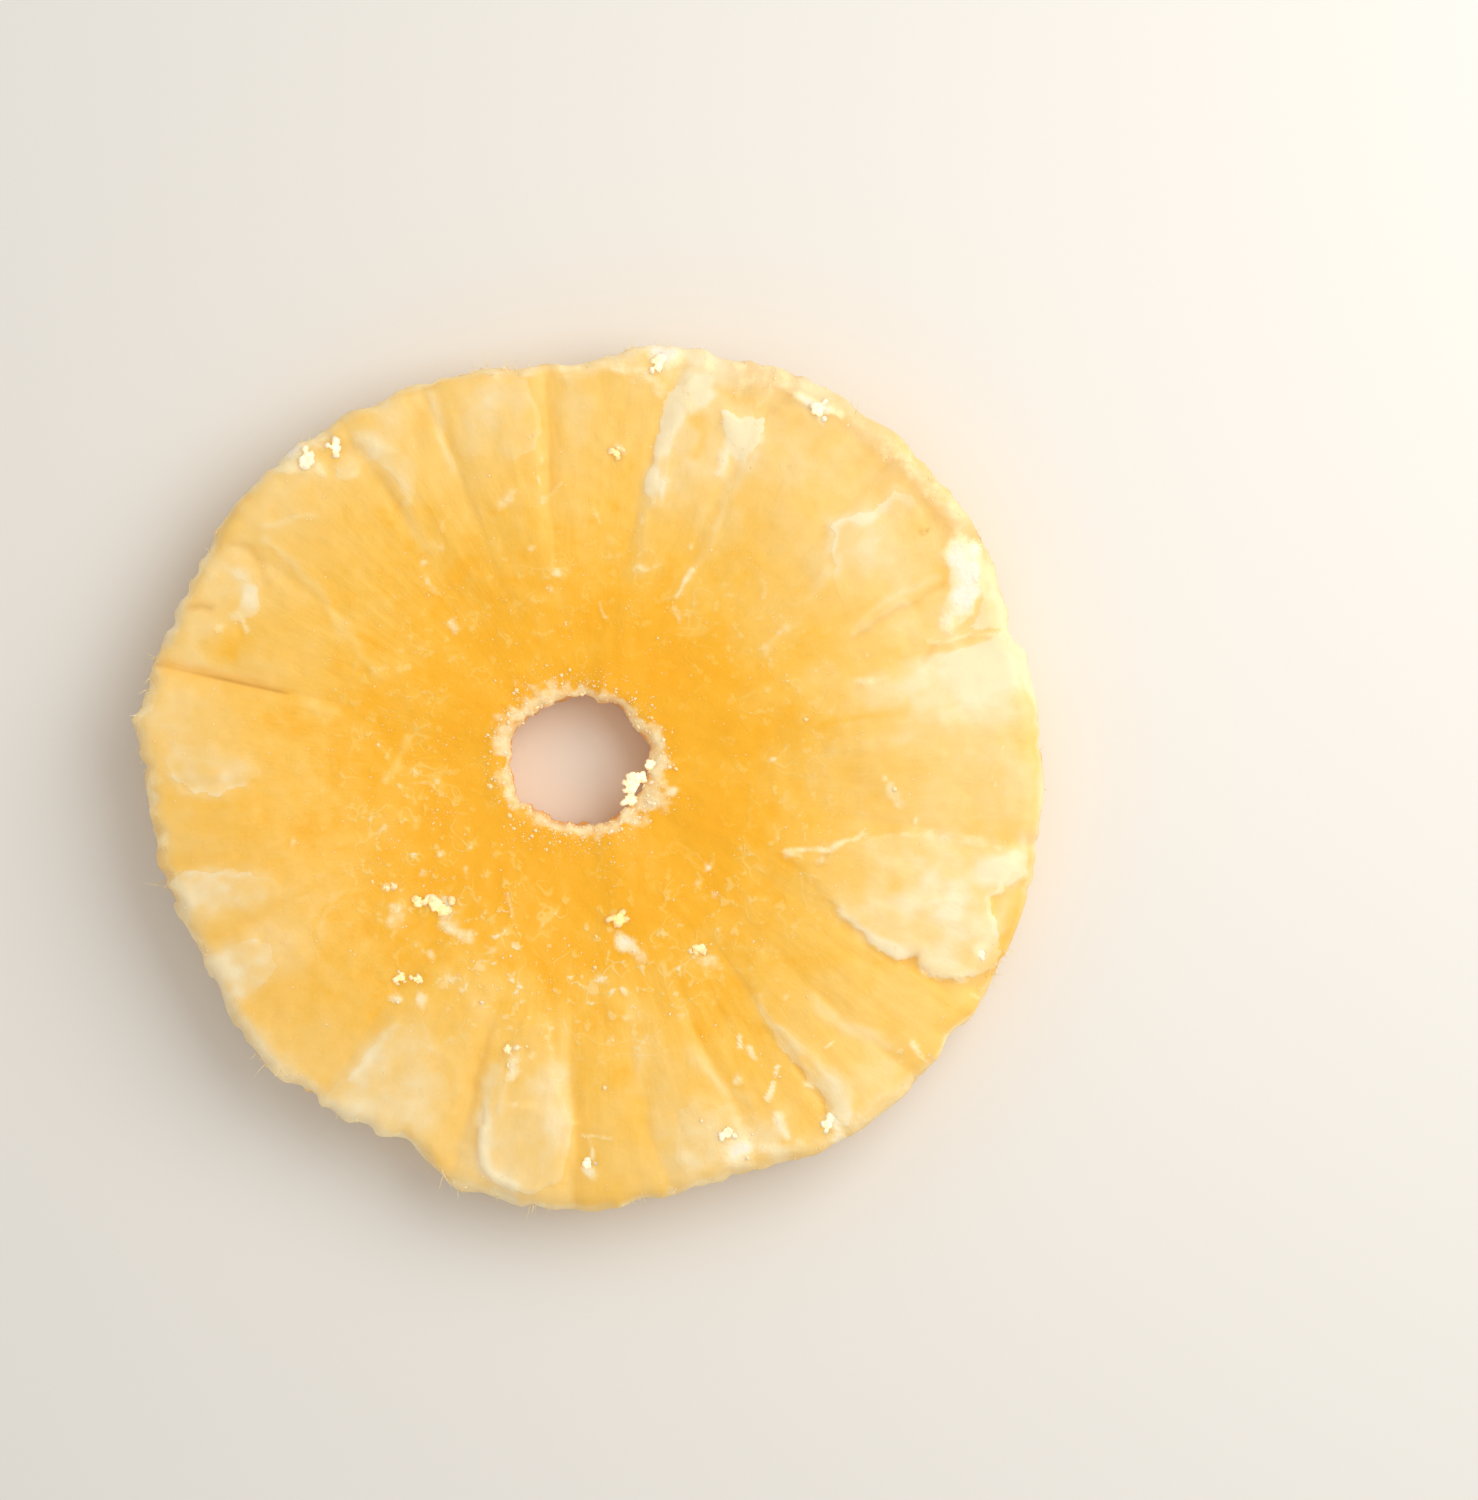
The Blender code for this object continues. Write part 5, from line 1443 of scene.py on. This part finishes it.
def candied_flesh(grain, crystals, film, border):
    """Translucent fruit: amber in the core, paler outward, crusted where sugar has dried.

    The tone is the paleness, plus the step at a layer's border, fibres, mottle and dried specks.
    The little emission is painted light: the crust glows a little in its own colour, which lifts it
    where it lies in shade and stands for the light that comes back out of it.
    """
    material, tree, shader = new_material(
        "candied_flesh", Subsurface_Weight=0.75, Subsurface_Scale=1.6 * MM,
        Subsurface_Radius=(1.0, 0.5, 0.16), IOR=1.46, Specular_IOR_Level=0.25, Coat_Weight=0.06,
        Coat_Roughness=0.3, Emission_Strength=0.06)
    fruit = placed_group(tree, grain)
    sugar = placed_group(tree, crystals)
    dried = placed_group(tree, film)
    layer = placed_group(tree, border, Depth=mask_of(tree, "depth"))
    # The foot's negative tone is partly painted shadow under a layer's raised border
    step = weighted(tree, (layer["Inside"], INSIDE_TONE), (layer["Lip"], LIP_TONE),
                    (layer["Foot"], FOOT_TONE))
    step = maths(tree, "MULTIPLY", step, mask_of(tree, "lip"))
    pale = weighted(tree, (mask_of(tree, "paleness"), 1.0), (step, 1.0),
                    (fruit["Fibres"], FIBRE_TONE), (fruit["Mottle"], MOTTLE_TONE))
    specked = weighted(tree, (dried["Flecks"], FLECK_TONE), (dried["Threads"], THREAD_TONE))
    specked = maths(tree, "MULTIPLY", specked, mask_of(tree, "film"))
    flesh = ramped(tree, maths(tree, "ADD", pale, specked), FLESH_COLOURS)
    clear = rescaled(tree, maths(tree, "ADD", pale, fruit["Mottle"]), 0.0, 0.32, 0.55, 0.0)
    flesh = mixed(tree, clear, flesh, AMBER_GLOW)
    # The syrup mask also holds painted shade, which this paints in the syrup colour
    soaked = maths(tree, "MULTIPLY", mask_of(tree, "syrup"), 0.75, clamp=True)
    flesh = mixed(tree, soaked, flesh, SYRUP_COLOUR)
    cover = weighted(tree, (mask_of(tree, "sugar"), 1.0), (sugar["Dust"], 0.8))
    cover = rescaled(tree, cover, 0.12, 0.66, eased_in=True)
    white = rescaled(tree, mask_of(tree, "sugar"), 0.55, 1.0)
    crust_colour = mixed(tree, white, SUGAR_CREAM, SUGAR_WHITE)
    tree.links.new(mixed(tree, cover, flesh, crust_colour), shader.inputs["Base Color"])
    # Painted light: the crust glows a little in its own colour, lifting it where it lies in shade
    tree.links.new(mixed(tree, cover, NO_LIGHT, crust_colour), shader.inputs["Emission Color"])
    dull = weighted(tree, (cover, 1.0), (fruit["Mottle"], MOTTLE_TONE))
    dull = rescaled(tree, dull, 0.0, 1.0, 0.38, 0.70)
    tree.links.new(dull, shader.inputs["Roughness"])
    crust = maths(tree, "MULTIPLY", sugar["Facets"], maths(tree, "ADD", cover, 0.08))
    height = weighted(tree, (fruit["Fibres"], 1.0), (fruit["Mottle"], 1.0), (crust, 0.5),
                      (specked, 1.0), (step, 1.2))
    bump = node(tree, "ShaderNodeBump", {"Height": height, "Strength": 0.5,
                                         "Distance": 0.20 * MM})
    tree.links.new(bump.outputs["Normal"], shader.inputs["Normal"])
    return material


def sugar_crystal(name, crystals, depth):
    """Crumbs of sugar: cream to white, with small facets.

    The little emission is painted light: a glow in their own colour that lifts their sides in
    shade, standing for the light that comes through them from below.
    """
    material, tree, shader = new_material(
        name, Subsurface_Weight=0.65, Subsurface_Scale=depth, Subsurface_Radius=(1.0, 0.85, 0.6),
        Roughness=0.5, IOR=1.5, Specular_IOR_Level=0.25, Emission_Strength=0.07)
    sugar = placed_group(tree, crystals, Crystal_scale=5200.0)
    share = maths(tree, "ADD", mask_of(tree, "whiteness"),
                  maths(tree, "MULTIPLY", sugar["Dust"], 0.6), clamp=True)
    colour = mixed(tree, share, CRUMB_CREAM, CRUMB_WHITE)
    tree.links.new(colour, shader.inputs["Base Color"])
    # Painted light: the crumbs glow a little in their own colour
    tree.links.new(colour, shader.inputs["Emission Color"])
    bump = node(tree, "ShaderNodeBump", {"Height": sugar["Facets"], "Strength": 0.3,
                                         "Distance": 0.10 * MM})
    tree.links.new(bump.outputs["Normal"], shader.inputs["Normal"])
    return material


def dried_fibre(grain):
    """Thin threads of dried flesh."""
    material, tree, shader = new_material(
        "dried_fibre", Subsurface_Weight=0.3, Subsurface_Scale=0.5 * MM, Roughness=0.6)
    fruit = placed_group(tree, grain, Mottle_scale=2200.0)
    share = maths(tree, "ADD", fruit["Mottle"], 0.5, clamp=True)
    tree.links.new(mixed(tree, share, FIBRE_CREAM, FIBRE_WHITE), shader.inputs["Base Color"])
    return material


def make_fruit():
    """The ring in place of its CAD solid, with its crumbs, grains and fibres."""
    grain, crystals = flesh_grain_group(), sugar_crystal_group()
    clump_sugar = sugar_crystal("clump_sugar", crystals, 0.90 * MM)
    grain_sugar = sugar_crystal("grain_sugar", crystals, 0.14 * MM)
    points, masks, level = ring_surface()
    flesh = candied_flesh(grain, crystals, dried_film_group(), layer_border_group())
    ring = closed_grid("candied_ring", points, masks, flesh)
    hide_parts("pineapple_ring")
    pieces = [ring, sugar_clumps(points, clump_sugar), edge_fibres(points, dried_fibre(grain))]
    pieces += sugar_scatter(points, masks, level, grain_sugar)
    for piece in pieces:
        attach(piece, "root")


def make_floor():
    """A plain pale floor just under the ring."""
    reach, gap = 0.9, 0.05 * MM
    corners = np.array([(-reach, -reach, -gap), (reach, -reach, -gap), (reach, reach, -gap),
                        (-reach, reach, -gap)])
    material, _, _ = new_material("floor_white", Base_Color=FLOOR_WHITE, Roughness=0.85)
    floor = new_piece("floor", corners, np.array([[0, 1, 2, 3]]), material)


def make_lights():
    """A bright even sky and one large soft light from the upper right."""
    world = bpy.data.worlds.new("soft_studio")
    world.use_nodes = True
    sky = world.node_tree.nodes["Background"]
    sky.inputs["Color"].default_value = SKY_COLOUR
    sky.inputs["Strength"].default_value = SKY_STRENGTH
    bpy.context.scene.world = world
    key = bpy.data.lights.new("key", "AREA")
    key.size = LAMP_SIZE
    key.energy = LAMP_POWER
    key.color = LAMP_COLOUR
    lamp = bpy.data.objects.new("key", key)
    lamp.location = LAMP_PLACE
    lamp.rotation_euler = (-lamp.location).to_track_quat("-Z", "Y").to_euler()
    bpy.context.scene.collection.objects.link(lamp)


def make_camera():
    """A camera straight above, placed so that the ring falls where the photograph has it."""
    low, high = (Vector(corner) for corner in CAD_BOX)
    per_pixel = (high.x - low.x) / RING_WIDTH_PIXELS
    aside = (PHOTO_WIDTH / 2 - RING_MIDDLE_PIXEL[0]) * per_pixel
    above = (RING_MIDDLE_PIXEL[1] - PHOTO_HEIGHT / 2) * per_pixel
    distance = LENS / SENSOR * PHOTO_HEIGHT * per_pixel
    camera = bpy.data.cameras.new("camera")
    camera.lens = LENS
    camera.sensor_fit = "VERTICAL"
    camera.sensor_height = SENSOR
    camera.clip_start = 0.01
    rig = bpy.data.objects.new("camera", camera)
    rig.location = (aside, above, RIM_THICKNESS + distance)
    bpy.context.scene.collection.objects.link(rig)
    bpy.context.scene.camera = rig


def main():
    """Makes the scene: its camera, lights, floor and fruit, seen through the Standard view."""
    make_camera()
    make_lights()
    make_floor()
    make_fruit()
    bpy.context.scene.view_settings.view_transform = "Standard"


main()
